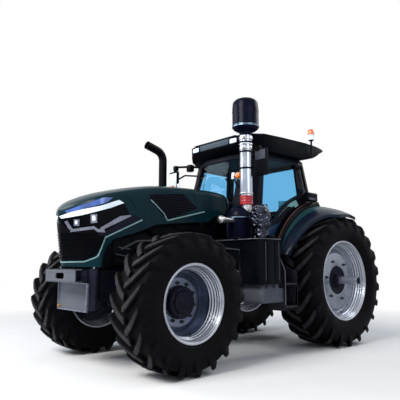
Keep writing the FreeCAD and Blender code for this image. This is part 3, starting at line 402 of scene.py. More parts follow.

# %% [markdown]
# Rubber shows where it works: the tips of the lugs are rubbed grey by the road, and
# the same grey also stands in for painted highlights on the lug edges, while the
# sidewall stays black. The distance from the wheel's own axle tells the two apart, so
# the shader takes the wheel's centre and two radii.

# %% Tyre rubber, one finish for each wheel
def tyre_rubber(name, x, radius, lug):
    material = bpy.data.materials.new(name)
    material.use_nodes = True
    tree = material.node_tree
    shader = tree.nodes["Principled BSDF"]
    shader.inputs["Specular IOR Level"].default_value = 0.04
    place = step(tree, "ShaderNodeTexCoord", {}).outputs["Object"]
    centred = step(tree, "ShaderNodeMapping", {"Vector": place, "Location": (-x, 0.0, -radius),
                                               "Scale": (1.0, 0.0, 1.0)})
    out = step(tree, "ShaderNodeVectorMath", {0: centred.outputs[0]}, operation="LENGTH")
    # Lug tips turn grey: partly wear, partly a painted highlight on the lug edges.
    tip_wear_and_highlight = step(tree, "ShaderNodeMapRange", {0: out.outputs["Value"], 1: radius - 0.35 * lug, 2: radius,
                                             3: 0.0, 4: 1.0})
    patch = step(tree, "ShaderNodeTexNoise", {"Vector": place, "Scale": 22.0, "Detail": 5.0})
    share = step(tree, "ShaderNodeMath", {0: tip_wear_and_highlight.outputs[0], 1: patch.outputs["Fac"]}, operation="MULTIPLY")
    surface = placed(tree, UNEVEN, Colour=(0.0026, 0.0026, 0.0034, 1), Drift=0.3, Scale=6.0, Gloss_Low=0.5,
                     Gloss_High=0.72, Grain_Scale=240.0)
    dirt = placed(tree, DUST, Amount=0.04, Reach=1.1, Dust=(0.08, 0.08, 0.09, 1))
    mix = step(tree, "ShaderNodeMix", {"Factor": share.outputs[0]}, data_type="RGBA")
    mix.inputs[7].default_value = (0.062, 0.062, 0.07, 1)
    bump = step(tree, "ShaderNodeBump", {"Height": surface.outputs["Height"], "Strength": 0.3, "Distance": 0.002})
    tree.links.new(surface.outputs["Colour"], dirt.inputs["Colour"])
    tree.links.new(dirt.outputs["Colour"], mix.inputs[6])
    tree.links.new(mix.outputs[2], shader.inputs["Base Color"])
    tree.links.new(surface.outputs["Roughness"], shader.inputs["Roughness"])
    tree.links.new(bump.outputs["Normal"], shader.inputs["Normal"])
    return material


FRONT_X = REAR_X + WHEELBASE
front_rubber = tyre_rubber("front_rubber", FRONT_X, FRONT_Z, 0.048)
rear_rubber = tyre_rubber("rear_rubber", REAR_X, REAR_Z, 0.052)
print("front axle at", FRONT_X)

# %% [markdown]
# Every solid first gets the finish of the real piece. Those that are replaced later
# lose it again with their solid, so no surface can be left plain by mistake.

# %% Finishes on all solids
FINISHES = {
    "silver_paint": rim_silver, "teal_paint": bonnet_paint, "cast_dark": cast_paint, "grey_steel": grey_paint,
    "bright_steel": polished_steel, "black_plastic": black_plastic, "cab_dark": cab_paint, "clear_glass": glass,
    "orange_lens": warning_orange, "red_rubber": hose_red, "seat_fabric": slate_plastic,
    "tyre_rubber": rear_rubber,
}
for node in nodes.values():
    for index, old in enumerate(node.data.materials):
        node.data.materials[index] = FINISHES[old.name.split(".")[0]]
# solids whose finish differs from that of their slot
OWN_FINISHES = {
    "tyre_front_left": front_rubber, "tyre_front_right": front_rubber, "rear_fenders": fender_paint,
    "engine_block": engine_paint, "side_boxes": box_grey, "exhaust_pipe": black_plastic,
    "air_canister": dark_chrome, "air_drum": dark_chrome, "tail_lamps": black_plastic,
}
for name, material in OWN_FINISHES.items():
    nodes[name].data.materials[0] = material
print("finishes by slot", len(FINISHES), "of their own", len(OWN_FINISHES))

# %% [markdown]
# Every piece made here ends as a plain mesh that rides on a body of the tractor and
# hides the solid it replaces. Modifiers are quick to try, but they are made real at
# once, so that later steps count and join the faces that are really there.

# %% Helpers for finished pieces
def smooth_by_angle(mesh, degrees=32):
    mesh.shade_smooth()
    mesh.set_sharp_from_angle(angle=math.radians(degrees))


def link_mesh(name, mesh, materials):
    if not mesh.materials:
        for material in materials:
            mesh.materials.append(material)
    piece = bpy.data.objects.new(name, mesh)
    scene.collection.objects.link(piece)
    return piece


def applied(piece):
    """The piece's mesh with its modifiers made real."""
    graph = bpy.context.evaluated_depsgraph_get()
    result = bpy.data.meshes.new_from_object(piece.evaluated_get(graph))
    old, name = piece.data, piece.name
    materials = list(old.materials)
    piece.modifiers.clear()
    piece.data = result
    bpy.data.meshes.remove(old)
    if not result.materials:
        for material in materials:
            result.materials.append(material)
    return piece


def put_on(piece, body, *replaced, slot=None):
    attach(piece, body)
    if replaced:
        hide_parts(*replaced)
    return piece


# %% [markdown]
# A part pressed, cast or moulded in a factory has no knife edge. The quickest true
# way to that look is to take the solid's own surface, merge its loose triangles
# into flat faces and round every sharp edge by a few millimetres.

# %% Rounded copies of the solids
BODY_OF = {node: body for body, members in frame["record"]["behaviour"]["bodies"].items() for node in members}
SLOT_OF = {row["node"]: row["material_slot"] for row in frame["record"]["subparts"]}


def rounded_copy(node, width, material):
    shape = bmesh.new()
    shape.from_mesh(nodes[node].data)
    bmesh.ops.remove_doubles(shape, verts=shape.verts, dist=0.00005)
    bmesh.ops.dissolve_limit(shape, angle_limit=math.radians(1.5), verts=shape.verts, edges=shape.edges)
    mesh = bpy.data.meshes.new(node + "_rounded")
    shape.to_mesh(mesh)
    shape.free()
    piece = link_mesh(node + "_rounded", mesh, [material])
    for polygon in mesh.polygons:
        polygon.material_index = 0
    bevel = piece.modifiers.new("edges", "BEVEL")
    bevel.width = width
    bevel.segments = 2
    bevel.limit_method = "ANGLE"
    bevel.angle_limit = math.radians(30)
    bevel.use_clamp_overlap = True
    applied(piece)
    smooth_by_angle(piece.data, 38)
    return put_on(piece, BODY_OF[node], node, slot=SLOT_OF[node])


# solid, width of its rounded edge and its finish
ROUNDED = (
    ("front_carrier", 0.012, cast_paint), ("front_axle_beam", 0.010, cast_paint),
    ("cab_frame", 0.006, cab_paint), ("door_left", 0.005, door_navy),
    ("door_right", 0.005, door_navy), ("cab_steps", 0.003, step_dark), ("side_boxes", 0.010, box_grey),
    ("fuel_tanks", 0.008, black_plastic), ("console", 0.012, black_plastic),
    ("hood_bracket", 0.004, cast_paint), ("engine_block", 0.015, engine_paint),
    ("front_frame", 0.012, cast_paint), ("transmission_housing", 0.008, cast_paint),
    ("hitch_frame", 0.004, cast_paint),
)
for node, width, material in ROUNDED:
    rounded_copy(node, width, material)
print("rounded", len(ROUNDED))

# %% [markdown]
# Shapes are drawn in millimetres from the rear axle, and the scene is in metres from
# the middle. One function changes the first into the second, and another turns a
# list of points and faces into a mesh whose doubles are merged and whose faces all
# look outwards.

# %% Drawing scale and clean meshes
def at(x, y, z):
    """A point drawn in millimetres from the rear axle on the ground, in metres."""
    return Vector((x / 1000 + REAR_X, y / 1000, z / 1000))


def clean_mesh(name, points, faces, merge=0.00005):
    mesh = bpy.data.meshes.new(name)
    mesh.from_pydata([tuple(p) for p in points], [], faces)
    shape = bmesh.new()
    shape.from_mesh(mesh)
    bmesh.ops.remove_doubles(shape, verts=shape.verts, dist=merge)
    bmesh.ops.recalc_face_normals(shape, faces=shape.faces)
    shape.to_mesh(mesh)
    shape.free()
    return mesh


# %% [markdown]
# Wheels are turned shapes. A profile of radius and width is swept once round the
# axle, which is how a rim is rolled and a tyre is moulded. The same helper turns
# the intake's drum and pipes about an upright axis.

# %% Turned shapes
def turned(name, profile, centre, material, axis="Z", steps=64, closed=False, sharp=32):
    """profile: (along the axis, radius) in millimetres; centre: drawn in millimetres."""
    points, faces = [], []
    count = len(profile)
    for i in range(steps):
        a = 2 * math.pi * i / steps
        for along, r in profile:
            c, s = r * math.cos(a), r * math.sin(a)
            shift = (c, s, along) if axis == "Z" else (c, along, s) if axis == "Y" else (along, c, s)
            points.append(at(*(p + q for p, q in zip(centre, shift))))
    last = count if closed else count - 1
    for i in range(steps):
        j = (i + 1) % steps
        for k in range(last):
            m = (k + 1) % count
            faces.append((i * count + k, i * count + m, j * count + m, j * count + k))
    piece = link_mesh(name, clean_mesh(name, points, faces), [material])
    smooth_by_angle(piece.data, sharp)
    return piece


def rounded_profile(points, radius, steps=3):
    """Corners of a profile replaced by small curves."""
    out = [points[0]]
    for a, b, c in zip(points, points[1:], points[2:]):
        a, b, c = Vector(a), Vector(b), Vector(c)
        r = min(radius, 0.45 * (b - a).length, 0.45 * (c - b).length)
        p, q = b + (a - b).normalized() * r, b + (c - b).normalized() * r
        for k in range(steps + 1):
            t = k / steps
            out.append(tuple(p * (1 - t) ** 2 + b * 2 * t * (1 - t) + q * t ** 2))
    return out + [points[-1]]


# %% [markdown]
# A tread is one lug repeated round the tyre, and a hub is one bolt repeated round
# a circle. A small Geometry Nodes tree does both: it puts one copy for each step on
# a point at the wheel's centre, turns it, and makes the copies real.

# %% Geometry Nodes: a ring and a row of one piece
def repeat_tree(name, ring):
    tree = bpy.data.node_groups.new(name, "GeometryNodeTree")
    tree.interface.new_socket("Piece", in_out="INPUT", socket_type="NodeSocketGeometry")
    for label, kind in (("Count", "NodeSocketInt"), ("Start", "NodeSocketVector"), ("Step", "NodeSocketVector"),
                        ("Finish", "NodeSocketMaterial")):
        tree.interface.new_socket(label, in_out="INPUT", socket_type=kind)
    tree.interface.new_socket("Result", in_out="OUTPUT", socket_type="NodeSocketGeometry")
    get, put = tree.nodes.new("NodeGroupInput"), tree.nodes.new("NodeGroupOutput")
    line = tree.nodes.new("GeometryNodeMeshLine")
    tree.links.new(get.outputs["Count"], line.inputs["Count"])
    tree.links.new(get.outputs["Start"], line.inputs["Start Location"])
    copies = tree.nodes.new("GeometryNodeInstanceOnPoints")
    if ring:
        line.inputs["Offset"].default_value = (0, 0, 0)
        index = tree.nodes.new("GeometryNodeInputIndex")
        turn = tree.nodes.new("ShaderNodeVectorMath")
        turn.operation = "SCALE"
        tree.links.new(get.outputs["Step"], turn.inputs[0])
        tree.links.new(index.outputs[0], turn.inputs["Scale"])
        tree.links.new(turn.outputs[0], copies.inputs["Rotation"])
    else:
        tree.links.new(get.outputs["Step"], line.inputs["Offset"])
    tree.links.new(line.outputs[0], copies.inputs["Points"])
    tree.links.new(get.outputs["Piece"], copies.inputs["Instance"])
    real = tree.nodes.new("GeometryNodeRealizeInstances")
    paint = tree.nodes.new("GeometryNodeSetMaterial")
    tree.links.new(copies.outputs[0], real.inputs[0])
    tree.links.new(real.outputs[0], paint.inputs["Geometry"])
    tree.links.new(get.outputs["Finish"], paint.inputs["Material"])
    tree.links.new(paint.outputs[0], put.inputs[0])
    return tree


RING, ROW = repeat_tree("ring_of_pieces", True), repeat_tree("row_of_pieces", False)


# %% [markdown]
# Three helpers finish what repeats. The first sets the tree's sockets on a piece and
# makes the copies real, the second joins pieces into one mesh that keeps all their
# finishes, and the third mirrors a left piece to the right with its faces turned.

# %% Repeating, joining and mirroring
def repeated(tree, piece, count, start, each, material):
    """piece is drawn about the origin; each is the turn in degrees or the way to the next."""
    change = piece.modifiers.new("repeat", "NODES")
    change.node_group = tree
    turn = [math.radians(v) for v in each] if tree is RING else list(each)
    values = {"Count": count, "Start": tuple(start), "Step": tuple(turn), "Finish": material}
    for socket in tree.interface.items_tree:
        if socket.in_out == "INPUT" and socket.name in values:
            change[socket.identifier] = values[socket.name]
    piece.data.materials.clear()
    piece.data.materials.append(material)
    return applied(piece)


def joined(name, *pieces):
    """One mesh from several, each with its own finishes."""
    materials, shape = [], bmesh.new()
    for piece in pieces:
        part = piece.data.copy()
        shift = []
        for material in piece.data.materials:
            if material not in materials:
                materials.append(material)
            shift.append(materials.index(material))
        for polygon in part.polygons:
            polygon.material_index = shift[min(polygon.material_index, len(shift) - 1)]
        shape.from_mesh(part)
        bpy.data.meshes.remove(part)
        bpy.data.objects.remove(piece)
    mesh = bpy.data.meshes.new(name)
    shape.to_mesh(mesh)
    shape.free()
    return link_mesh(name, mesh, materials)


def mirrored_copy(piece, name):
    mesh = piece.data.copy()
    mesh.transform(Matrix.Scale(-1, 4, (0, 1, 0)))
    mesh.flip_normals()
    return link_mesh(name, mesh, list(piece.data.materials))


# %% [markdown]
# Each lug starts in the middle of the tread, sweeps back in a long curve over the
# shoulder and dies out on the sidewall. It is lofted through seven small rings, and
# its opposite number sits half a step round on the other side. Only one pair is
# drawn, and the ring of copies makes the tread.

# %% Tyres: the lugs
# outer radius, half widths of the sidewall and the tread, height of a lug, lugs on a
# side, radii of the rim's flange and bead seat, half width of the rim, half lug
FRONT = dict(R=735.0, W=270.0, T=238.0, lug=48.0, count=20, flange=415.0, seat=390.0, rim=235.0, bar=33.0)
REAR = dict(R=915.0, W=325.0, T=288.0, lug=52.0, count=22, flange=565.0, seat=540.0, rim=262.0, bar=38.0)


def lug_points(size, side, turn):
    tread, wall = size["R"] - size["lug"], size["R"] - size["flange"]
    lead = math.degrees(0.98 * size["T"] / size["R"])
    half = math.degrees(size["bar"] / size["R"])
    # share of the lead, y, top radius, base radius, width
    stations = (
        (0.0, -12.0, size["R"] - 2, tread - 8, 0.80),
        (0.06, 0.05 * size["T"], size["R"], tread - 8, 1.0),
        (0.36, 0.40 * size["T"], size["R"], tread - 10, 1.02),
        (0.72, 0.76 * size["T"], size["R"] - 2, tread - 16, 0.95),
        (1.0, size["T"] + 2, size["R"] - 8, tread - 26, 0.86),
        (1.10, size["W"] - 10, size["R"] - 0.15 * wall, tread - 0.2 * wall, 0.82),
        (1.17, size["W"] - 3, size["R"] - 0.31 * wall, tread - 0.36 * wall, 0.74),
    )
    rings = []
    for share, y, top, base, width in stations:
        ring = []
        for r, spread in ((base, -1.4), (top - 9, -1.08), (top, -0.86), (top, 0.86), (top - 9, 1.08), (base, 1.4)):
            a = math.radians(turn + lead * share ** 1.12 + spread * width * half)
            ring.append(Vector((r * math.cos(a), side * y, r * math.sin(a))) / 1000)
        rings.append(ring)
    return rings


def lug_pair(name, size):
    points, faces = [], []
    first = -90.0 - math.degrees(size["bar"] / size["R"])
    for side, turn in ((1, first), (-1, first + 180.0 / size["count"])):
        rings = lug_points(size, side, turn)
        base = len(points)
        points += [p for ring in rings for p in ring]
        for i in range(len(rings) - 1):
            for k in range(6):
                m = (k + 1) % 6
                faces.append([base + i * 6 + k, base + i * 6 + m, base + i * 6 + 6 + m, base + i * 6 + 6 + k])
        faces += [[base + k for k in range(6)], [base + (len(rings) - 1) * 6 + k for k in range(6)]]
    piece = link_mesh(name, clean_mesh(name, points, faces), [front_rubber])
    smooth_by_angle(piece.data, 40)
    return piece


# %% [markdown]
# Under the lugs a tyre is a turned casing: a bead that grips the rim, a bulging
# sidewall and a nearly flat tread. Half of the profile is drawn and mirrored, then
# lugs and casing are joined, and the right tyre is the mirror image of the left.

# %% Tyres: the casing
def carcass_profile(size):
    wall, bead = size["R"] - size["flange"], size["rim"] - 11
    half = [(bead, size["seat"] + 2), (bead + 1, size["flange"] + 4), (size["rim"] + 6, size["flange"] + 12),
            (size["rim"] + 14, size["flange"] + 20), (size["rim"] + 15, size["flange"] + 26),
            (size["W"] - 14, size["flange"] + 0.18 * wall), (size["W"] - 4, size["flange"] + 0.30 * wall),
            (size["W"] - 2, size["flange"] + 0.42 * wall), (size["W"] - 6, size["flange"] + 0.52 * wall),
            (size["W"] - 16, size["flange"] + 0.64 * wall), (size["T"] + 4, size["R"] - size["lug"] - 26),
            (size["T"] - 18, size["R"] - size["lug"] - 9), (0.5 * size["T"], size["R"] - size["lug"] - 1)]
    return half + [(-y, r) for y, r in reversed(half)]


def tyre_pair(name, size, x, y, rubber):
    lugs = lug_pair(name + "_lugs", size)
    turn = 360.0 / size["count"]
    repeated(RING, lugs, size["count"], at(x, y, size["R"]), (0, -turn, 0), rubber)
    smooth_by_angle(lugs.data, 40)
    body = turned(name + "_carcass", carcass_profile(size), (x, y, size["R"]), rubber, "Y", 120, True, 50)
    left = joined(f"tread_{name}_left", lugs, body)
    right = mirrored_copy(left, f"tread_{name}_right")
    for piece, side in ((left, "left"), (right, "right")):
        put_on(piece, f"wheel_{name}_{side}", f"tyre_{name}_{side}", slot="tyre_rubber")
    print(name, "tyre triangles", sum(len(p.vertices) - 2 for p in left.data.polygons))


tyre_pair("front", FRONT, WHEELBASE * 1000, FRONT_Y * 1000, front_rubber)
tyre_pair("rear", REAR, 0.0, REAR_Y * 1000, rear_rubber)

# %% [markdown]
# A rim is rolled from sheet steel, so it steps down from its flange to the bead seat
# and the well in soft ridges that catch the light one after the other. The disc is
# pressed and welded in, with studs and nuts round the hub.

# %% Rims: the profile
def rim_profile(front):
    if front:
        outer = [(-235, 398), (-235, 415), (-225, 415), (-224, 390), (-100, 380), (-80, 346), (80, 346), (110, 380),
                 (224, 390), (225, 415), (235, 413), (238, 404), (235, 386)]
        inner = [(214, 380), (206, 372), (188, 374), (180, 366), (158, 368), (150, 356), (126, 358), (118, 345),
                 (92, 346), (84, 337), (-20, 336), (-50, 334)]
        disc = [(-42, 300), (-26, 262), (-23, 250), (-24, 176), (-26, 172), (-38, 172), (-38, 250), (-60, 326),
                (-76, 336)]
    else:
        outer = [(-262, 548), (-262, 565), (-252, 565), (-251, 540), (-150, 530), (-100, 492), (100, 492), (150, 530),
                 (251, 540), (252, 565), (262, 563), (265, 554), (262, 536)]
        inner = [(240, 530), (232, 521), (212, 523), (204, 513), (180, 515), (172, 500), (150, 502), (140, 488),
                 (112, 489), (104, 482), (60, 482)]
        disc = [(50, 478), (70, 440), (118, 400), (128, 386), (128, 206), (126, 200), (114, 200), (114, 380),
                (56, 430), (30, 482)]
    back = [(-60, 336), (-110, 340), (-170, 378)] if front else [(20, 482), (-110, 486), (-180, 528)]
    return outer + inner + disc + back


# %% [markdown]
# A wheel nut is a hexagon with a flange under it and the stud's end standing out of
# it. Turning the nut's profile in six steps instead of sixty gives its flats, and the
# ring of copies places it round the hub.

# %% Wheel nuts
def hex_nut(name, radius, high, material):
    """A nut on its stud, drawn about the origin with its axis along Y."""
    profile = ((0, radius * 1.25), (high * 0.18, radius * 1.25), (high * 0.2, radius), (high * 0.72, radius),
               (high * 0.8, radius * 0.8), (high * 0.8, radius * 0.5), (high * 1.3, radius * 0.5), (high * 1.34, 0))
    points, faces = [], []
    for k in range(6):
        a = math.radians(60 * k)
        points += [Vector((r * math.cos(a), y, r * math.sin(a))) / 1000 for y, r in profile]
    n = len(profile)
    for k in range(6):
        m = (k + 1) % 6
        faces += [(k * n + j, k * n + j + 1, m * n + j + 1, m * n + j) for j in range(n - 1)]
    return link_mesh(name, clean_mesh(name, points, faces), [material])


def ring_of_nuts(name, x, y, z, circle, count, radius, high, material, phase=0.0):
    nut = hex_nut(name, radius, high, material)
    a = math.radians(phase)
    nut.data.transform(Matrix.Translation(Vector((circle * math.cos(a), 0, circle * math.sin(a))) / 1000))
    return repeated(RING, nut, count, at(x, y, z), (0, 360.0 / count, 0), material)


# %% [markdown]
# Front and rear wheels differ in size and in their discs, so one loop builds both
# from a table. The disc is given a darker metal than the rim, a painted shade for the
# deep dish: faces nearer to the axle than the disc's edge get the second finish, and
# nuts, valve and sleeve are joined on.

# %% Rims with discs, nuts and valves
dark_nut = hard_finish("dark_nut", (0.016, 0.018, 0.025), (0.3, 0.45), 0.3, 9.0, (200.0, 0.1), 0.1,
                       Metallic=0.6)
# The discs' darker metal is painted shade for the deep dish, darker on the front wheels than on the rear.
front_disc_shade = hard_finish("front_disc_shade", (0.13, 0.15, 0.21), (0.16, 0.28), 0.25, 4.0, (300.0, 0.04), 0.05,
                         Metallic=0.85)
rear_disc_shade = hard_finish("rear_disc_shade", (0.24, 0.26, 0.32), (0.2, 0.32), 0.2, 4.0, (300.0, 0.04), 0.05,
                        Metallic=0.8)
VALVE = [(0, 0), (0, 6), (12, 6), (13, 9), (34, 9), (36, 0)]
SLEEVE = [(170, 50.5), (170, 52.5), (454, 52.5), (456, 50.5)]
# wheel, size, axle X, wheel Y, disc face, nut circle, nuts, hub circle, hub face, disc radius, disc finish
# in painted shade, and the valve's X from the axle, Y and depth below it
WHEELS = (
    ("front", FRONT, WHEELBASE * 1000, FRONT_Y * 1000, -23.0, 205.0, 10, 140.0, 31.0, 338.0, front_disc_shade,
     (-60, 60, -326)),
    ("rear", REAR, 0.0, REAR_Y * 1000, 128.0, 280.0, 6, 106.0, 132.0, 440.0, rear_disc_shade, (-60, 110, -455)),
)
for name, size, x, y, face_y, circle, count, small, hub_y, disc_edge, disc_shade_finish, valve_place in WHEELS:
    axle = (x, y, size["R"])
    profile = rounded_profile(rim_profile(name == "front"), 5.0, 2)
    rim = turned("rim", profile, axle, rim_silver, "Y", 128, True, 38)
    rim.data.materials.append(disc_shade_finish)
    for polygon in rim.data.polygons:
        spot = polygon.center - at(x, 0, size["R"])
        if math.hypot(spot.x, spot.z) * 1000 < disc_edge:
            polygon.material_index = 1
    nuts = ring_of_nuts("nuts", x, y + face_y, size["R"], circle, count, 17.0, 26.0, dark_nut, 9.0)
    small_nuts = ring_of_nuts("small_nuts", x, y + hub_y, size["R"], small, 8, 10.0, 12.0, dark_nut, 20.0)
    valve = turned("valve", rounded_profile(VALVE, 1.5, 2), [p + q for p, q in zip(axle, valve_place)],
                   dark_nut, "Y", 16)
    sleeve = [turned("sleeve", SLEEVE, axle, rim_silver, "Y", 40)] if name == "rear" else []
    left = joined(f"wheel_{name}_left_metal", rim, nuts, small_nuts, valve, *sleeve)
    right = mirrored_copy(left, f"wheel_{name}_right_metal")
    for piece, side in ((left, "left"), (right, "right")):
        smooth_by_angle(piece.data, 38)
        put_on(piece, f"wheel_{name}_{side}", f"rim_{name}_{side}", slot="silver_paint")
    print(name, "wheel metal faces", len(left.data.polygons))

# %% [markdown]
# The bonnet's lines are long curves that pass through a few known heights. Two small
# functions read such a table at any place along the tractor: one with a smooth
# curve through the points, and one with straight pieces for folded edges.

# %% Curves through a table
def smooth_between(table, x):
    """A smooth curve through a table of (x, value), level beyond its ends."""
    if x <= table[0][0]:
        return table[0][1]
    for i in range(len(table) - 1):
        (x0, v0), (x1, v1) = table[i], table[i + 1]
        if x <= x1:
            before, after = table[max(i - 1, 0)], table[min(i + 2, len(table) - 1)]
            t, span = (x - x0) / (x1 - x0), x1 - x0
            m0 = (v1 - before[1]) / (x1 - before[0]) * span
            m1 = (after[1] - v0) / (after[0] - x0) * span
            return ((2 * t ** 3 - 3 * t ** 2 + 1) * v0 + (t ** 3 - 2 * t ** 2 + t) * m0
                    + (3 * t ** 2 - 2 * t ** 3) * v1 + (t ** 3 - t ** 2) * m1)
    return table[-1][1]


def straight_between(table, x):
    for (x0, v0), (x1, v1) in zip(table, table[1:]):
        if x <= x1:
            return v0 + (v1 - v0) * max(0.0, x - x0) / (x1 - x0)
    return table[-1][1]


# %% [markdown]
# The bonnet is one long moulded skin. Its shape follows a rule: at each place along
# the tractor a crown height, a shoulder height, a half width and a lower edge are
# known. A grid of points makes the skin, and the same grid later gives the lamps,
# grille and vents their exact seat on it. The nose closes over its last stretch.

# %% The rule of the bonnet
CROWN = ((1560, 2026), (1650, 2110), (2010, 2126), (2740, 2094), (3370, 1964), (3640, 1852), (3830, 1712))
SHOULDER = ((1560, 1981), (1650, 2056), (2010, 2075), (2740, 2038), (3370, 1912), (3640, 1810), (3830, 1686))
HALF_WIDTH = ((1560, 424), (1650, 431), (2010, 439), (2740, 439), (3370, 429), (3640, 420), (3830, 400))
LOWER_EDGE = ((1575, 1960), (1585, 1880), (1660, 1790), (1880, 1745), (1965, 1675), (2460, 1634), (2804, 1592),
              (2910, 1548), (3135, 1470), (3360, 1402), (3457, 1310), (3488, 1200), (3506, 1102), (3740, 1104),
              (3810, 1112))
STATIONS = (1575, 1580, 1585, 1600, 1625, 1660, 1750, 1880, 1965, 2010, 2100, 2250, 2400, 2520, 2640, 2740,
            2804, 2910, 3000, 3135, 3220, 3300, 3360, 3410, 3457, 3474, 3488, 3497, 3506, 3550, 3600, 3645,
            3685, 3720, 3750, 3772, 3789, 3801, 3808, 3810)
NOSE_START, NOSE_LENGTH = 3530.0, 280.0
RAKE_START, RAKE_LENGTH, RAKE_TOP, RAKE_HEIGHT, MOST_RAKE = 3500.0, 240.0, 1700.0, 510.0, 75.0


def skin_row(x):
    crown, shoulder = smooth_between(CROWN, x), smooth_between(SHOULDER, x)
    nose = min(1.0, max(0.0, (x - NOSE_START) / NOSE_LENGTH))
    wide = smooth_between(HALF_WIDTH, x) * (1 - nose ** 1.45) ** 0.70
    drop, low = crown - shoulder, straight_between(LOWER_EDGE, x)
    side = [(0.0, crown), (0.3, crown - 0.05 * drop), (0.58, crown - 0.22 * drop), (0.76, crown - 0.48 * drop),
            (0.88, crown - 0.78 * drop), (0.945, shoulder + 2), (0.982, shoulder - 22), (0.997, shoulder - 60)]
    start = shoulder - 90
    for k in range(7):
        side.append((1.0 + 0.004 * math.sin(math.pi * k / 6), start + (low - start) * k / 6))
    row = []
    for share, z in side:
        blend = min(1.0, max(0.0, (x - RAKE_START) / RAKE_LENGTH))
        rake = MOST_RAKE * max(0.0, RAKE_TOP - z) / RAKE_HEIGHT * blend
        row.append((x - rake, share * wide, z))
    return [(x, -y, z) for x, y, z in reversed(row[1:])] + row


# %% [markdown]
# A loft by hand keeps the grid regular: one row of points for each station, and four
# sided faces between the rows. The skin stays open below, so the recalculated
# normals are checked once against the top face and turned if they look inwards.

# %% Bonnet skin as a grid
def skin_mesh(name):
    rows = [skin_row(x) for x in STATIONS]
    wide = len(rows[0])
    points = [at(*p) for row in rows for p in row]
    faces = [(i * wide + k, i * wide + k + 1, (i + 1) * wide + k + 1, (i + 1) * wide + k)
             for i in range(len(rows) - 1) for k in range(wide - 1)]
    return clean_mesh(name, points, faces, 0.0004)


def face_outwards(mesh):
    """An open skin over the engine faces up and away from the middle."""
    shape = bmesh.new()
    shape.from_mesh(mesh)
    bmesh.ops.recalc_face_normals(shape, faces=shape.faces)
    top = max(shape.faces, key=lambda f: f.calc_center_median().z)
    if top.normal.z < 0:
        bmesh.ops.reverse_faces(shape, faces=shape.faces)
    shape.to_mesh(mesh)
    shape.free()
    return mesh


skin = face_outwards(skin_mesh("skin"))
print("skin faces", len(skin.polygons))

# %% [markdown]
# Lamps, grille bars and vents are cut from that same skin. Straight cuts along each
# edge of a drawn side outline give a crisp patch, which is lifted or sunk by a few
# millimetres and given its own thickness and finish. A shrinkwrapped plate could do
# it too, but its edges would wander over the curves.

# %% Patches cut from the skin
def patch(name, outlines, lift, thick, material):
    """outlines: convex side outlines as (x, z) in millimetres, one piece each."""
    whole = bmesh.new()
    for outline in outlines:
        shape = bmesh.new()
        shape.from_mesh(skin)
        middle = at(sum(x for x, z in outline) / len(outline), 0, sum(z for x, z in outline) / len(outline))
        for (x0, z0), (x1, z1) in zip(outline, outline[1:] + outline[:1]):
            a, b = at(x0, 0, z0), at(x1, 0, z1)
            across = Vector((b.z - a.z, 0, a.x - b.x)).normalized()
            if across.dot(middle - a) > 0:
                across.negate()
            parts = shape.verts[:] + shape.edges[:] + shape.faces[:]
            bmesh.ops.bisect_plane(shape, geom=parts, plane_co=a, plane_no=across, clear_outer=True)
        part = bpy.data.meshes.new("part")
        shape.to_mesh(part)
        shape.free()
        whole.from_mesh(part)
        bpy.data.meshes.remove(part)
    bmesh.ops.remove_doubles(whole, verts=whole.verts, dist=0.0003)
    whole.normal_update()
    for vert in whole.verts:
        vert.co += vert.normal * lift / 1000
    mesh = bpy.data.meshes.new(name)
    whole.to_mesh(mesh)
    whole.free()
    piece = link_mesh(name, mesh, [material])
    shell = piece.modifiers.new("thickness", "SOLIDIFY")
    shell.thickness = thick / 1000
    shell.offset = -1.0
    applied(piece)
    smooth_by_angle(piece.data, 40)
    return piece


# %% [markdown]
# The bonnet that shows is the skin with a wall of twenty millimetres, as a moulded
# one with its ribs would have. Solidify adds it on the inside, so the outer face
# stays where the lamps and vents were cut.

# %% Bonnet with its wall
hood = link_mesh("bonnet_skin", skin.copy(), [bonnet_paint])
wall = hood.modifiers.new("wall", "SOLIDIFY")
wall.thickness, wall.offset = 0.020, -1.0
applied(hood)
smooth_by_angle(hood.data, 50)
put_on(hood, "bonnet", "hood_shell", slot="teal_paint")
print("bonnet faces", len(hood.data.polygons))

# %% [markdown]
# The nose needs finishes of its own: glossy black plastic round the lamps, a white
# light guide, a grey violet trim, a pale green painted highlight for edges and
# creases, and blue covers whose blue is a painted reflection of the sky. Each is the
# shared recipe once more. The light guide and the lenses glow a little as lamps do,
# and the same white finish glows on parts that are no lamps, a painted glow.

# %% Finishes of the nose
field_black = hard_finish("field_black", (0.0012, 0.0014, 0.003), (0.12, 0.2), 0.2, 3.0, (300.0, 0.02), 0.0,
                          Specular_IOR_Level=0.06)
navy_band = hard_finish("navy_band", (0.006, 0.008, 0.018), (0.25, 0.35), 0.2, 3.0, (300.0, 0.03), 0.0,
                        Specular_IOR_Level=0.08)
# This white glows a little: as a lamp on the brow, and as a painted glow on white parts that are no lamps.
glowing_white = hard_finish("glowing_white", (0.70, 0.78, 0.86), (0.16, 0.26), 0.08, 5.0, (300.0, 0.03), 0.0,
                         Coat_Weight=0.4, Emission_Color=(0.7, 0.85, 1.0, 1), Emission_Strength=0.25)
mauve_trim = hard_finish("mauve_trim", (0.20, 0.21, 0.28), (0.22, 0.32), 0.2, 6.0, (300.0, 0.04), 0.0,
                         Metallic=0.5)
# Light green for painted highlights along the nose's edges and the vent creases.
green_highlight = hard_finish("green_highlight", (0.20, 0.36, 0.35), (0.25, 0.35), 0.12, 5.0, (300.0, 0.03), 0.0)
lamp_glow = hard_finish("lamp_glow", (0.62, 0.76, 0.92), (0.05, 0.12), 0.15, 60.0, (90.0, 0.3), 0.0,
                        Emission_Color=(0.60, 0.74, 1.0, 1), Emission_Strength=0.45)
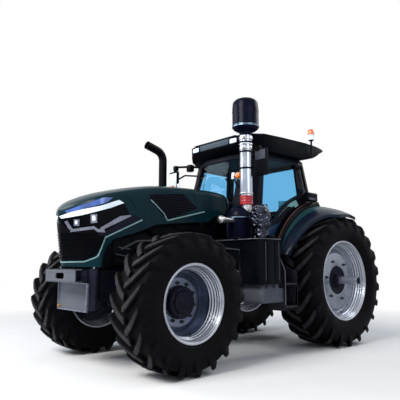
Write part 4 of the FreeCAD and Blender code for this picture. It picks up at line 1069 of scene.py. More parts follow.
# Deep blue for the covers over the lamps, a painted reflection of the sky.
cover_sky_reflection = hard_finish("cover_sky_reflection", (0.035, 0.09, 0.32), (0.08, 0.2), 0.6, 9.0, (60.0, 0.1), 0.0,
                         Coat_Weight=0.5, Coat_Roughness=0.04)
grille_black = hard_finish("grille_black", (0.0015, 0.0016, 0.003), (0.5, 0.65), 0.3, 5.0, (120.0, 0.5), 0.0,
                           Specular_IOR_Level=0.04)
print("materials so far", len(bpy.data.materials))

# %% [markdown]
# The nose carries a wide black lamp field with two lenses, a white brow, a pale trim
# that folds back in a V, and a thin light green line that frames the grille, a painted
# highlight along the panel's edge. They could be modelled one by one, but all lie on
# the bonnet. So each is a few straight sided outlines seen from the side, and the cut
# finds both flanks at once.

# %% Nose: lamps, brow and trim
# name, lift, thickness, finish, outlines
NOSE = (
    ("lamp_field", 2.5, 8.0, field_black, (
        [(3812, 1655), (3560, 1745), (3549, 1480), (3735, 1480), (3790, 1590)],
        [(3560, 1745), (3309, 1833), (3246, 1808), (3149, 1665), (3472, 1480), (3549, 1480)])),
    ("navy_sweep", 3.0, 8.0, navy_band, (
        [(3472, 1480), (3149, 1665), (3098, 1690), (3001, 1640), (3470, 1421)],
        [(3549, 1480), (3472, 1480), (3470, 1421), (3549, 1440)])),
    ("lamp_bezel", 5.0, 10.0, mauve_trim, (
        [(3722, 1612), (3688, 1611), (3684, 1540), (3716, 1541)],
        [(3614, 1662), (3562, 1665), (3559, 1572), (3608, 1565)])),
    ("lamp_lens", 8.0, 12.0, lamp_glow, (
        [(3713, 1592), (3706, 1599), (3699, 1593), (3697, 1564), (3703, 1556), (3710, 1562)],
        [(3602, 1642), (3590, 1650), (3577, 1643), (3573, 1600), (3585, 1590), (3597, 1596)])),
    # Clear covers over the lamps, whose deep blue is a painted reflection of the sky.
    ("cover_with_sky_reflection", 5.0, 8.0, cover_sky_reflection, (
        [(3759, 1672), (3781, 1705), (3692, 1757), (3659, 1723)],
        [(3659, 1723), (3692, 1757), (3503, 1847), (3457, 1798)],
        [(3457, 1798), (3503, 1847), (3383, 1858)])),
    ("brow", 6.0, 9.0, glowing_white, (
        [(3802, 1655), (3752, 1688), (3679, 1714), (3676, 1654), (3737, 1639), (3789, 1626)],
        [(3679, 1714), (3539, 1752), (3539, 1701), (3676, 1654)],
        [(3539, 1752), (3309, 1838), (3244, 1809), (3419, 1739), (3539, 1701)])),
    ("v_trim", 7.0, 10.0, mauve_trim, (
        [(3772, 1590), (3736, 1500), (3722, 1516), (3760, 1604)],
        [(3730, 1509), (3584, 1535), (3583, 1503), (3730, 1477)],
        [(3584, 1535), (3550, 1504), (3549, 1472), (3583, 1503)],
        [(3550, 1504), (3485, 1506), (3472, 1470), (3549, 1472)],
        [(3532, 1517), (3294, 1658), (3161, 1681), (3149, 1668), (3512, 1494)])),
    # The light green line is a painted highlight along the panel's edge.
    ("edge_highlight", 5.0, 8.0, green_highlight, (
        [(3001, 1643), (3470, 1424), (3466, 1410), (2996, 1629)],
        [(3470, 1424), (3548, 1218), (3538, 1212), (3460, 1418)],
        [(3548, 1218), (3627, 1166), (3626, 1154), (3544, 1206)],
        [(3627, 1166), (3815, 1160), (3815, 1147), (3626, 1154)])),
)
nose = [patch(name, outlines, lift, thick, material) for name, lift, thick, material, outlines in NOSE]
put_on(joined("nose_lamps", *nose), "bonnet", "headlamps", slot="bright_steel")
print("nose pieces", len(nose))

# %% [markdown]
# Behind the green line the grille is a black field with flat bars, one above the
# other, and each flank has a vent with louvres. A bar is the field's own outline
# clipped between two heights, so every bar ends exactly at the edge of its field.

# %% Grille bars and vent louvres
GRILLE = [(3815, 1590), (3549, 1472), (3482, 1421), (3556, 1229), (3628, 1177), (3815, 1170)]
VENT = [(2897, 1938), (2399, 1999), (2158, 1837), (2639, 1652), (2885, 1880)]


def clipped_strip(outline, low, high):
    """The part of a convex outline between two heights."""
    for level, keep_above in ((low, True), (high, False)):
        out = []
        for (x0, z0), (x1, z1) in zip(outline, outline[1:] + outline[:1]):
            inside0 = z0 >= level if keep_above else z0 <= level
            inside1 = z1 >= level if keep_above else z1 <= level
            if inside0:
                out.append((x0, z0))
            if inside0 != inside1:
                t = (level - z0) / (z1 - z0)
                out.append((x0 + (x1 - x0) * t, level))
        outline = out
    return outline


def level_strips(outline, first, pitch, height, count):
    return [clipped_strip(outline, first + pitch * k, first + pitch * k + height) for k in range(count)]


grille = patch("grille_field", [GRILLE], 1.5, 8.0, grille_black)
grille_bars = patch("grille_bars", level_strips(GRILLE, 1186, 30, 10, 10), 12.0, 12.0, field_black)
vent = patch("vent_field", [VENT], 2.0, 8.0, grille_black)
vent_louvres = patch("vent_louvres", level_strips(VENT, 1668, 28, 8, 11), 7.0, 7.0, navy_band)
print("bar triangles", len(grille_bars.data.polygons), "louvre triangles", len(vent_louvres.data.polygons))

# %% [markdown]
# Under each vent the sheet folds in a crease, and a bright green line along it is a
# painted highlight. Thin dark seams show where the panels meet. A seam could be cut
# into the skin, but at this size a narrow raised strip with the shadow's colour reads
# the same and keeps the skin smooth.

# %% Crease highlights, panel seams and rear edge highlight
def crease(points, wide):
    """Thin outlines along a drawn line."""
    strips = []
    for (x0, z0), (x1, z1) in zip(points, points[1:]):
        run = Vector((x1 - x0, z1 - z0)).normalized() * wide / 2
        strips.append([(x0 - run.y, z0 + run.x), (x1 - run.y, z1 + run.x),
                       (x1 + run.y, z1 - run.x), (x0 + run.y, z0 - run.x)])
    return strips


VENT_REAR_FOLD = [(2882, 1879), (2692, 1731), (2639, 1652)]
VENT_LOW_FOLD = [(2639, 1652), (2172, 1770), (2040, 1802)]
FRONT_SEAM = [(3231, 1895), (3173, 1866), (3077, 1749)]
REAR_SEAM = [(2240, 2080), (2158, 1837)]
# The bright green crease lines are painted highlights.
crease_highlights = patch("vent_crease_highlights", crease(VENT_REAR_FOLD, 10) + crease(VENT_LOW_FOLD, 14), 9.0, 10.0, green_highlight)
seams = patch("panel_seams", crease(FRONT_SEAM, 5) + crease(REAR_SEAM, 5), 1.2, 3.0, grille_black)
# A thin pale strip along the bonnet's rear end is a painted highlight on its edge.
rear_edge_highlight = patch("rear_edge_highlight", [[(1592, 2100), (1592, 1800), (1577, 1800), (1577, 2100)]], 3.0, 8.0, mauve_trim)
put_on(joined("nose_grille", grille, grille_bars, vent, vent_louvres, crease_highlights, seams, rear_edge_highlight), "bonnet",
       "hood_grilles", slot="black_plastic")
print("bonnet dressed")

# %% [markdown]
# Plates, bars and housings are drawn as outlines with rounded edges. One helper
# gives an outline its thickness along any axis, a second is its shorthand for a box,
# and a modifier bevels the edges, so that they catch light as pressed steel does.

# %% Plates and blocks
def bevelled(piece, width, segments=2, limit=30, sharp=38):
    if width:
        edge = piece.modifiers.new("edges", "BEVEL")
        edge.width, edge.segments = width / 1000, segments
        edge.limit_method, edge.angle_limit = "ANGLE", math.radians(limit)
        applied(piece)
    smooth_by_angle(piece.data, sharp)
    return piece


def plate(name, outline, axis, low, high, material, edge=0.0, segments=2):
    """The outline is drawn across the axis, in millimetres, between two levels on it."""
    place = {"X": lambda p, t: (t, p[0], p[1]), "Y": lambda p, t: (p[0], t, p[1]),
             "Z": lambda p, t: (p[0], p[1], t)}[axis]
    n = len(outline)
    points = [at(*place(p, t)) for t in (low, high) for p in outline]
    faces = [list(range(n)), list(range(n, 2 * n))]
    faces += [[k, (k + 1) % n, n + (k + 1) % n, n + k] for k in range(n)]
    return bevelled(link_mesh(name, clean_mesh(name, points, faces), [material]), edge, segments)


def block(name, x0, x1, y0, y1, z0, z1, material, edge=3.0, segments=2):
    return plate(name, [(x0, y0), (x1, y0), (x1, y1), (x0, y1)], "Z", z0, z1, material, edge, segments)


def both_sides(pieces):
    """The pieces drawn on the left and their mirror images on the right."""
    return [*pieces, *[mirrored_copy(piece, piece.name + "_right") for piece in pieces]]


# %% [markdown]
# Pipes, arms and rails are round tubes along a path, and the roof and the rubber
# strips are skins through a row of sections. Both are lofts: rings with the same
# number of points, joined one to the next, with a face to close each end.

# %% Sections and tubes
def lofted(name, rings, material, sharp=38):
    """rings: closed sections with the same number of points, in millimetres."""
    n = len(rings[0])
    points = [at(*p) for ring in rings for p in ring]
    faces = [[i * n + k, i * n + (k + 1) % n, (i + 1) * n + (k + 1) % n, (i + 1) * n + k]
             for i in range(len(rings) - 1) for k in range(n)]
    faces += [list(range(n)), [(len(rings) - 1) * n + k for k in range(n)]]
    piece = link_mesh(name, clean_mesh(name, points, faces), [material])
    smooth_by_angle(piece.data, sharp)
    return piece


def tube(name, path, radius, material, sides=14):
    """A round rail along drawn points, with mitred bends."""
    points = [Vector(p) for p in path]
    rings, side = [], None
    for i, p in enumerate(points):
        before = (p - points[i - 1]).normalized() if i else (points[1] - p).normalized()
        after = (points[i + 1] - p).normalized() if i < len(points) - 1 else before
        along = (before + after).normalized()
        side = side or (Vector((0, 0, 1)) if abs(along.z) < 0.9 else Vector((0, 1, 0)))
        side = (side - along * side.dot(along)).normalized()
        other = along.cross(side)
        wide = radius / max(0.4, along.dot(after))
        rings.append([p + (side * math.cos(a) + other * math.sin(a)) * (radius + (wide - radius) * 0.5)
                      for a in (2 * math.pi * k / sides for k in range(sides))])
    return lofted(name, rings, material, 50)


# %% [markdown]
# The roof is one moulded shell that rises to a brow in front and thins out to a
# sharp lip behind. A box with bevels would look heavy, so the shell is lofted
# through cross sections, each given by its underside, its top and its half width.

# %% Roof shell
roof_black = hard_finish("roof_black", (0.0015, 0.0018, 0.004), (0.5, 0.62), 0.2, 2.0, (400.0, 0.05), 0.0,
                         Specular_IOR_Level=0.02)
# X, underside, top, half width
ROOF = ((1440, 2795, 2905, 438), (1425, 2780, 2928, 470), (1380, 2766, 2940, 560), (1300, 2712, 2950, 632),
        (1150, 2692, 2957, 720), (800, 2692, 2958, 758), (300, 2692, 2958, 790), (100, 2745, 2957, 786),
        (0, 2790, 2955, 784), (-120, 2858, 2950, 772), (-230, 2902, 2940, 742), (-292, 2920, 2932, 706))


def roof_section(x, low, high, wide):
    soft = min(26.0, 0.3 * (high - low))
    left = [(x, wide - 10, low), (x, wide, low + 8), (x, wide, high - soft),
            (x, wide - 0.5 * soft, high - 0.3 * soft), (x, wide - 1.6 * soft, high - 3), (x, 0.55 * wide, high)]
    return left + [(px, -py, pz) for px, py, pz in reversed(left)]


shell = lofted("shell", [roof_section(*row) for row in ROOF], roof_black, 42)
print("roof sections", len(ROOF))

# %% [markdown]
# A slate coloured fascia closes the roof in front, under a thin ledge, and a black
# cap at each end holds a white work lamp. A grey strip follows the upper edge back
# along each side, where the real shell's two halves are clipped together.

# %% Fascia, side strips and work lamps
fascia = plate("fascia", [(-300, 2822), (300, 2822), (300, 2908), (-300, 2908)], "X", 1434, 1447, slate_plastic, 5)
fascia_top = plate("fascia_top", [(1395, -440), (1395, 440), (1441, 430), (1441, -430)], "Z", 2926, 2934,
                   slate_plastic, 4)
CAP, LAMP = ((306, 2806), (478, 2806), (478, 2902), (306, 2912)), ((330, 2826), (456, 2826), (456, 2886), (330, 2890))
caps = [plate("cap", [(s * y, z) for y, z in CAP], "X", 1424, 1445, field_black, 6) for s in (1, -1)]
work = [plate("work", [(s * y, z) for y, z in LAMP], "X", 1440, 1451, lamp_glow, 5) for s in (1, -1)]
STRIP_PATH = [(1382, 562, 2925), (1150, 722, 2940), (800, 760, 2941), (300, 792, 2941), (0, 782, 2938)]
side_strip = tube("side_strip", STRIP_PATH, 5, slate_plastic, 8)
put_on(joined("roof_shell", shell, fascia, fascia_top, *both_sides([side_strip])), "chassis", "cab_roof",
       slot="cab_dark")
put_on(joined("roof_work_lamps", *caps, *work), "chassis", "roof_lamps", slot="bright_steel")
print("work lamps", len(work))

# %% [markdown]
# The intake on the left is the tractor's tall landmark, and its top is a dark drum
# that keeps rain and chaff out of the air. A drum is spun from sheet, so turning one
# profile is the true way to draw it, with a rolled lip and a band as plain rings.

# %% Intake: the drum
drum_blue = hard_finish("drum_blue", (0.003, 0.004, 0.013), (0.16, 0.26), 0.2, 4.0, (200.0, 0.03), 0.0,
                        Specular_IOR_Level=0.04)
rim_blue = hard_finish("rim_blue", (0.16, 0.24, 0.34), (0.2, 0.3), 0.2, 6.0, (200.0, 0.05), 0.0, Metallic=0.7)
STACK = (1630, 800, 0)


def ring(name, low, high, inner, outer, centre, material, steps=72):
    """A plain ring about an upright axis."""
    profile = [(low, inner), (low, outer), (high, outer), (high, inner)]
    return turned(name, profile, centre, material, "Z", steps, True)


DRUM = [(2800, 78), (2846, 84), (2880, 150), (2906, 172), (2914, 178), (2934, 178), (2936, 174), (3170, 174),
        (3250, 166), (3288, 130), (3300, 60), (3300, 0)]
drum = turned("drum", rounded_profile(DRUM, 14, 4), STACK, drum_blue, "Z", 72)
drum_lip = ring("drum_lip", 2912, 2934, 176, 178, STACK, rim_blue)
drum_band = ring("drum_band", 3118, 3124, 173, 177, STACK, navy_band)
put_on(joined("drum_cap", drum, drum_lip, drum_band), "chassis", "air_drum", slot="black_plastic")
print("drum top", DRUM[-1][0])

# %% [markdown]
# Under the drum a bright pipe is held by clamps and rubber bands, steadied by a stay
# from the cab, and joined to the canister by a ribbed red coupling. The bands come
# from a short table, and each steel clamp also gets the block of its screw.

# %% Intake: pipe, bands and coupling
# finish, low, high, radius
BANDS = (
    (clamp_steel, 2742, 2788, 88), (drum_blue, 2700, 2724, 84), (clamp_steel, 2674, 2692, 89),
    (clamp_steel, 2606, 2656, 85), (black_plastic, 2572, 2597, 86), (black_plastic, 2354, 2378, 85),
    (clamp_steel, 2024, 2048, 87),
)
SCREW_X, SCREW_Y = (STACK[0] + 70, STACK[0] + 108), (STACK[1] + 30, STACK[1] + 52)
COUPLING = [(1890, 70), (1890, 84), (1912, 84), (1918, 80), (1936, 83), (1952, 79), (1970, 83), (1982, 80),
            (1986, 84), (2008, 84), (2008, 70)]
pipe = ring("pipe", 2000, 2800, 76, 80, STACK, polished_steel)
bands = [turned("band", rounded_profile([(low, 79), (low, r), (high, r), (high, 79)], 2, 2), STACK, finish, "Z", 72)
         for finish, low, high, r in BANDS]
screws = [block("screw", *SCREW_X, *SCREW_Y, low + 4, high - 4, clamp_steel, 2)
          for finish, low, high, r in BANDS if finish is clamp_steel]
stay = tube("stay", [(1578, 770, 2338), (1500, 735, 2338), (1284, 598, 2338)], 11, black_plastic)
put_on(joined("stack_pipe", pipe, stay, *bands, *screws), "chassis", "air_stack", slot="bright_steel")
hose = turned("coupling", rounded_profile(COUPLING, 4, 3), STACK, hose_red, "Z", 64)
put_on(hose, "chassis", "red_hose", slot="red_rubber")
print("bands", len(bands), "screws", len(screws))

# %% [markdown]
# The canister stands on the tank's shelf beside the pipe. It is a spun can with a
# domed lid, a bright rolled seam, an outlet towards the pipe and a thick bleed pipe
# that points forward. All four are turned, three upright and one along the tractor.

# %% Intake: the canister
CAN = (1636, 690, 0)
CAN_BODY = [(1448, 0), (1448, 176), (1722, 176), (1724, 190), (1748, 190), (1752, 182), (1800, 172), (1846, 138),
            (1876, 80), (1884, 0)]
BLEED = [(1796, 0), (1800, 30), (1802, 40), (1960, 40), (1990, 48), (2030, 50), (2056, 36), (2066, 0)]
can = turned("can", rounded_profile(CAN_BODY, 10, 3), CAN, drum_blue, "Z", 80)
ledge = ring("ledge", 1722, 1734, 186, 193, CAN, rim_blue, 80)
outlet = turned("outlet", [(1790, 0), (1790, 66), (1892, 66)], STACK, clamp_steel, "Z", 48)
bleed = turned("bleed", rounded_profile(BLEED, 8, 3), (0, 725, 1684), clamp_steel, "X", 40)
put_on(joined("canister", can, ledge, outlet, bleed), "chassis", "air_canister", slot="black_plastic")
print("canister top", CAN_BODY[-1][0])

# %% [markdown]
# Beside the canister stands a duct wrapped in heat foil. Its large dents are real
# shape: a sum of waves pushes the turned surface in by up to a centimetre. The small
# sharp folds would need a very dense mesh, so cells in the bump make those.

# %% Intake: the foil covered duct
def foil_finish():
    """Crinkled foil: dark folds with bright broken ridges."""
    material = hard_finish("foil", (0.035, 0.038, 0.055), (0.14, 0.26), 0.5, 14.0, (70.0, 0.4), 0.0, Metallic=1.0)
    tree = material.node_tree
    place = step(tree, "ShaderNodeTexCoord", {}).outputs["Object"]
    folds = step(tree, "ShaderNodeTexVoronoi", {"Vector": place, "Scale": 26.0})
    bump = step(tree, "ShaderNodeBump", {"Height": folds.outputs["Distance"], "Strength": 1.0, "Distance": 0.02})
    tree.links.new(bump.outputs["Normal"], tree.nodes["Principled BSDF"].inputs["Normal"])
    return material


def dented(piece, centre, depth, core):
    """Waves about a hand long push every point outside the core towards the axis."""
    middle = at(*centre)
    for vert in piece.data.vertices:
        x, y, z = vert.co
        wave = math.sin(61 * z + 3 * math.sin(40 * x)) * math.sin(57 * y + 33 * z) + 0.6 * math.sin(90 * x - 71 * z)
        out = Vector((x - middle.x, y - middle.y, 0))
        if out.length > core:
            vert.co += out.normalized() * depth * (wave - 1.0)
    return piece


DUCT = (1660, 1053, 0)
DUCT_BODY = [(1448, 0), (1448, 92), (1560, 98), (1600, 124), (1690, 130), (1780, 128), (1842, 98), (1872, 50),
             (1876, 0)]
duct = turned("duct", rounded_profile(DUCT_BODY, 16, 5), DUCT, foil_finish(), "Z", 96)
put_on(dented(duct, DUCT, 0.005, 0.05), "chassis", "foil_duct", slot="black_plastic")
print("duct points", len(duct.data.vertices))

# %% [markdown]
# At the very front a channel of pressed steel stands on two webs, with a slot for a
# tow pin whose corners are cut off. A boolean could cut the slot, but four plain
# plates round it leave cleaner edges for the bevels.

# %% Tow bar
BAR_LOW, BAR_HIGH, BAR_FACE, BAR_BACK, BAR_HALF = 940, 1080, 3765, 3680, 350
SLOT_LOW, SLOT_HIGH, SLOT_HALF, SLOT_CUT = 978, 1042, 98, 16
SHEET = 12
brass = hard_finish("brass", (0.45, 0.28, 0.05), (0.25, 0.4), 0.2, 9.0, (200.0, 0.1), 0.0, Metallic=0.8)


def bar_face(name, outline, edge=0.0):
    return plate(name, outline, "X", BAR_FACE - SHEET, BAR_FACE, grey_paint, edge)


def slot_side(s):
    """The part of the face beside the slot, on the left for 1 and on the right for -1."""
    return [(s * BAR_HALF, SLOT_LOW), (s * BAR_HALF, SLOT_HIGH), (s * (SLOT_HALF - SLOT_CUT), SLOT_HIGH),
            (s * SLOT_HALF, SLOT_HIGH - SLOT_CUT), (s * SLOT_HALF, SLOT_LOW + SLOT_CUT),
            (s * (SLOT_HALF - SLOT_CUT), SLOT_LOW)]


flanges = [block("flange", BAR_BACK, BAR_FACE, -BAR_HALF, BAR_HALF, z, z + SHEET, grey_paint, 4)
           for z in (BAR_HIGH - SHEET, BAR_LOW)]
levels = [bar_face("face", [(-BAR_HALF, z0), (BAR_HALF, z0), (BAR_HALF, z1), (-BAR_HALF, z1)], 3)
          for z0, z1 in ((SLOT_HIGH, BAR_HIGH), (BAR_LOW, SLOT_LOW))]
sides = [bar_face("side", slot_side(s)) for s in (1, -1)]
webs = [block("web", 3585, 3756, y, y + 24, BAR_LOW + 10, BAR_HIGH - 10, cast_paint, 3) for y in (-160, 136)]
backing = block("backing", 3585, 3600, -300, 300, BAR_LOW + 10, BAR_HIGH - 10, cast_paint, 3)
put_on(joined("tow_channel", *flanges, *levels, *sides, *webs, backing), "chassis", "tow_bar", slot="grey_steel")
print("tow bar depth", BAR_FACE - BAR_BACK)

# %% [markdown]
# Below the bar hangs a square plate of plain sheet with a raised frame and one brass
# pin in its lower corner. The frame is four bars that overlap at the corners, as
# welded flat bar does, and nothing is painted on the sheet.

# %% Square plate
SHEET_LOW, SHEET_HIGH, SHEET_HALF = 636, 932, 330
sheet = block("sheet", 3590, 3604, -SHEET_HALF, SHEET_HALF, SHEET_LOW, SHEET_HIGH, grey_paint, 3)
frame_bars = [block("frame_bar", 3588, 3618, -SHEET_HALF - 5, SHEET_HALF + 5, z, z + 12, mauve_trim, 3)
              for z in (SHEET_LOW - 4, SHEET_HIGH - 8)]
frame_bars += [block("frame_bar", 3588, 3618, y, y + 12, SHEET_LOW - 4, SHEET_HIGH + 4, mauve_trim, 3)
               for y in (-SHEET_HALF - 5, SHEET_HALF - 7)]
pin = turned("pin", rounded_profile([(3600, 0), (3600, 14), (3618, 14), (3620, 9), (3634, 9), (3636, 0)], 2, 2),
             (0, -296, 672), brass, "X", 20)
put_on(joined("square_plate", sheet, *frame_bars, pin), "chassis", "front_plate", slot="grey_steel")
print("square plate", 2 * SHEET_HALF, "by", SHEET_HIGH - SHEET_LOW)

# %% [markdown]
# The front casting is held by a row of bolts on its top and narrows behind them
# between the wheels. The bolts use the same node tree as the wheel nuts, this time
# along a line, and the narrow cheeks leave the steered tyres their room.

# %% Bolts and cheeks of the front casting
def bolt_row(name, place, count, each, radius, high, material, turn):
    nut = hex_nut(name, radius, high, material)
    nut.data.transform(Matrix.Rotation(math.radians(turn[0]), 4, turn[1]))
    return repeated(ROW, nut, count, at(*place), tuple(v / 1000 for v in each), material)


top_bolts = bolt_row("top_bolts", (3430, 340, 1090), 3, (55, 0, 0), 13, 14, dark_nut, (90, "X"))
corner_bolt = turned("corner_bolt", rounded_profile([(1088, 0), (1088, 12), (1104, 12), (1106, 0)], 2, 2),
                     (3566, 388, 0), clamp_steel, "Z", 6)
CHEEK = [(3402, 190), (3402, 222), (3330, 252), (3210, 252), (3110, 190)]
cheek = plate("cheek", CHEEK, "Z", 730, 1080, cast_paint, 10, 3)
put_on(joined("carrier_cheeks", *both_sides([top_bolts, corner_bolt, cheek])), "chassis")
print("casting bolted")

# %% [markdown]
# Between the bonnet and the front wheels the engine's dark flank shows. Only its
# outer layer is made: covers, a manifold, a cooler, the oil filter, hoses and a few
# bright edges, so that the gap under the bonnet never looks empty.

# %% Engine flank
line_grey = hard_finish("line_grey", (0.05, 0.055, 0.07), (0.35, 0.5), 0.3, 9.0, (200.0, 0.1), 0.05, Metallic=0.3)
OIL_FILTER = [(980, 0), (980, 44), (1180, 44), (1182, 50), (1196, 50), (1196, 0)]
top_covers = [
    block("cover", 1900, 2640, -190, 190, 1590, 1790, engine_paint, 22),
    block("pan_cover", 2700, 3040, -180, 180, 1590, 1720, engine_paint, 22),
]
flank = [
    block("manifold", 2080, 2760, 232, 300, 1480, 1650, engine_paint, 20),
    block("cooler", 2000, 2420, 232, 330, 1560, 1700, engine_paint, 26),
    block("filter_head", 2820, 2960, 235, 330, 1180, 1330, engine_paint, 18),
    turned("filter", rounded_profile(OIL_FILTER, 8, 3), (2890, 286, 0), engine_paint, "Z", 32),
    tube("rail", [(2100, 318, 1440), (2500, 322, 1430), (2980, 318, 1400), (3180, 290, 1300)], 14, line_grey),
    tube("hose_low", [(2700, 290, 1180), (2960, 340, 1120), (3290, 300, 1180)], 22, engine_paint),
    tube("hose_high", [(2760, 280, 1560), (3060, 300, 1540), (3300, 250, 1600)], 34, engine_paint),
    plate("bay_fin", [(3224, 1331), (3063, 1313), (3063, 1301), (3224, 1319)], "Y", 296, 302, grey_paint, 1),
    plate("bay_fin_low", [(3248, 1253), (3115, 1233), (3115, 1221), (3248, 1241)], "Y", 296, 302, grey_paint, 1),
    block("bay_shield", 3060, 3290, 282, 296, 1120, 1440, engine_paint, 4),
]
put_on(joined("engine_flank", *top_covers, *both_sides(flank)), "chassis")
print("flank pieces", len(flank))

# %% [markdown]
# Each rear fender is a skin whose crest follows the wheel at a fixed distance. It
# falls to the outside, ends in a rolled lip and narrows towards the front. Two short
# tables say all of that: the radius at each Y, and the outer edge at each X.

# %% The rule of the fenders
AXLE_Z, INNER_Y, ARCH = REAR_Z * 1000, 585, 1050
FENDER_R = ((585, 1042), (700, 1070), (800, 1084), (862, 1084), (880, 1081), (1000, 1052), (1100, 1020),
            (1200, 976), (1262, 938))
FENDER_Y = ((-800, 1262), (200, 1262), (435, 1170), (810, 1050), (1060, 935), (1200, 900))
SHARES = (0.0, 0.10, 0.20, 0.30, 0.38, 0.41, 0.44, 0.55, 0.66, 0.78, 0.90, 1.0)
WALL_R = (560, 700, 850, 980)


def fender_row(angle, inner_wall):
    """Points across the fender at one angle round the axle, from the cab outwards."""
    c, s = math.cos(math.radians(angle)), math.sin(math.radians(angle))
    outer = straight_between(FENDER_Y, ARCH * c)
    row = [(INNER_Y, r) for r in WALL_R] if inner_wall else []
    for share in SHARES:
        y = INNER_Y + share * (outer - INNER_Y - 12)
        row.append((y, straight_between(FENDER_R, y)))
    last = row[-1][1]
    row += [(outer - 4, last - 5), (outer, last - 16), (outer, last - 46), (outer - 5, last - 52)]
    return [(r * c, y, AXLE_Z + r * s) for y, r in row]


def fender_skin(name, start, end, material, steps, inner_wall=True):
    rows = [fender_row(start + (end - start) * i / steps, inner_wall) for i in range(steps + 1)]
    wide = len(rows[0])
    faces = [(i * wide + k, i * wide + k + 1, (i + 1) * wide + k + 1, (i + 1) * wide + k)
             for i in range(steps) for k in range(wide - 1)]
    mesh = face_outwards(clean_mesh(name, [at(*p) for row in rows for p in row], faces))
    piece = link_mesh(name, mesh, [material])
    wall = piece.modifiers.new("wall", "SOLIDIFY")
    wall.thickness, wall.offset = 0.010, -1.0
    applied(piece)
    smooth_by_angle(piece.data, 22)
    return piece


# %% [markdown]
# The fender's outer flank and lip are painted a darker blue than its teal crest, a
# painted reflection of the sky's dark blue sheen on the fender. The border runs at a
# fixed share of the width, so it narrows with the fender, and each face simply takes
# one of the two paints. A thin bead along the crest catches light.

# %% Fender skins with a painted sheen
def painted_sheen_side(piece, material, beyond):
    """The fender's outer flank and lip get a darker paint than its crest, a painted reflection of the sky's sheen."""
    piece.data.materials.append(material)
    for polygon in piece.data.polygons:
        spot = (polygon.center - at(0, 0, AXLE_Z)) * 1000
        outer = straight_between(FENDER_Y, ARCH * spot.x / math.hypot(spot.x, spot.z))
        if (spot.y - INNER_Y) / (outer - INNER_Y - 12) > beyond:
            polygon.material_index = 1


def arc_point(radius, y, degrees):
    """A point at an angle round the rear axle."""
    a = math.radians(degrees)
    return (radius * math.cos(a), y, AXLE_Z + radius * math.sin(a))


# Darker blue for the painted sheen on the fender's outer flank and lip.
fender_sheen_dark = hard_finish("fender_sheen_dark", (0.006, 0.012, 0.026), (0.22, 0.32), 0.2, 2.0, (500.0, 0.02), 0.06,
                          Coat_Weight=0.1, Coat_Roughness=0.1, Specular_IOR_Level=0.08,
                          Coat_Tint=(0.6, 0.8, 1.0, 1))
fender = fender_skin("fender", 19, 95, fender_paint, 60)
painted_sheen_side(fender, fender_sheen_dark, 0.66)
BEAD_X_R, BEAD_Z_R, BEAD_Y = 1072, 1086, 868
bead_path = [(arc_point(BEAD_X_R, BEAD_Y, a)[0], BEAD_Y, arc_point(BEAD_Z_R, BEAD_Y, a)[2]) for a in range(22, 90, 4)]
bead = tube("bead", bead_path, 4, fender_paint, 8)
put_on(joined("fender_skins", *both_sides([fender, bead])), "chassis", "rear_fenders", slot="teal_paint")
print("fender crest", max(r for y, r in FENDER_R))

# %% [markdown]
# A rubber strip with a fine red line closes the gap between the fender and the door,
# and the fender's rear end is a separate tail of black plastic. The strip is one
# section swept round the axle, and the tail is the fender's rule carried on.

# %% Rubber strips and tails
def arc_strip(name, section, start, end, material, steps=40):
    angles = [start + (end - start) * i / steps for i in range(steps + 1)]
    return lofted(name, [[arc_point(r, y, a) for y, r in section] for a in angles], material, 35)


STRIP = [(792, 1076), (792, 1150), (798, 1158), (808, 1160), (818, 1152), (830, 1120), (834, 1104), (834, 1076)]
RED_LINE = [(806, 1157), (808, 1162), (813, 1161), (814, 1156)]
strip_red = hard_finish("strip_red", (0.12, 0.02, 0.02), (0.4, 0.55), 0.2, 9.0, (200.0, 0.1), 0.0)
strip = arc_strip("strip", STRIP, 19, 88, black_plastic)
line = arc_strip("line", RED_LINE, 20, 84, strip_red)
tail = fender_skin("tail", 95.2, 104, black_plastic, 8, False)
put_on(joined("fender_strips", *both_sides([strip, line, tail])), "chassis", "fender_edges", slot="black_plastic")
print("fenders done")

# %% [markdown]
# A mirror has a rounded housing on an arm and a brace, a bright glass to the rear
# and a lamp or cover on its back. The left and right housings differ a little, so
# one loop draws both and takes the differences from its table.

# %% Mirrors
mirror_glass = hard_finish("mirror_glass", (0.75, 0.78, 0.82), (0.02, 0.05), 0.05, 4.0, (100.0, 0.01), 0.0,
                           Metallic=1.0)
# side, top of the housing, back panel from and to, finish of the panel
# The right mirror's white back panel glows a little, a painted glow on a part that is no lamp.
MIRRORS = ((1, 2640, 2500, 2626, box_grey), (-1, 2600, 2330, 2570, glowing_white))
heads = []
for side, top, back_low, back_high, panel in MIRRORS:
    y0, y1 = sorted((side * 805, side * 1010))
    g0, g1 = sorted((side * 822, side * 993))
    joint, motor = sorted((side * 828, side * 900)), sorted((side * 600, side * 700))
    arm_path = [(1190, side * 524, 2650), (1320, side * 690, 2668), (1452, side * 850, 2668), (1452, side * 900, 2590)]
    brace_path = [(1300, side * 532, 2500), (1400, side * 700, 2520), (1452, side * 830, 2460)]
    heads += [
        block("head", 1426, 1474, y0, y1, 2284, top, black_plastic, 14, 4),
        block("glass", 1421, 1427, g0, g1, 2304, 2584, mirror_glass, 2),
        block("back", 1472, 1478, g0, g1, back_low, back_high, panel, 3),
        tube("arm", arm_path, 18, black_plastic),
        tube("brace", brace_path, 13, black_plastic),
        block("joint", 1420, 1484, *joint, 2610, 2690, black_plastic, 12),
        block("motor", 1290, 1380, *motor, 2580, 2690, black_plastic, 16),
    ]
put_on(joined("mirror_heads", *heads), "chassis", "mirrors", slot="black_plastic")
print("mirror pieces", len(heads))

# %% [markdown]
# A turn lamp is a short drum with an orange lens to the front and another to the
# rear, held in a white ring on an arm of tube. All round parts are turned along the
# tractor, so one centre serves the ring and both lenses.

# %% Turn lamps
TURN = (0, 690, 2290)
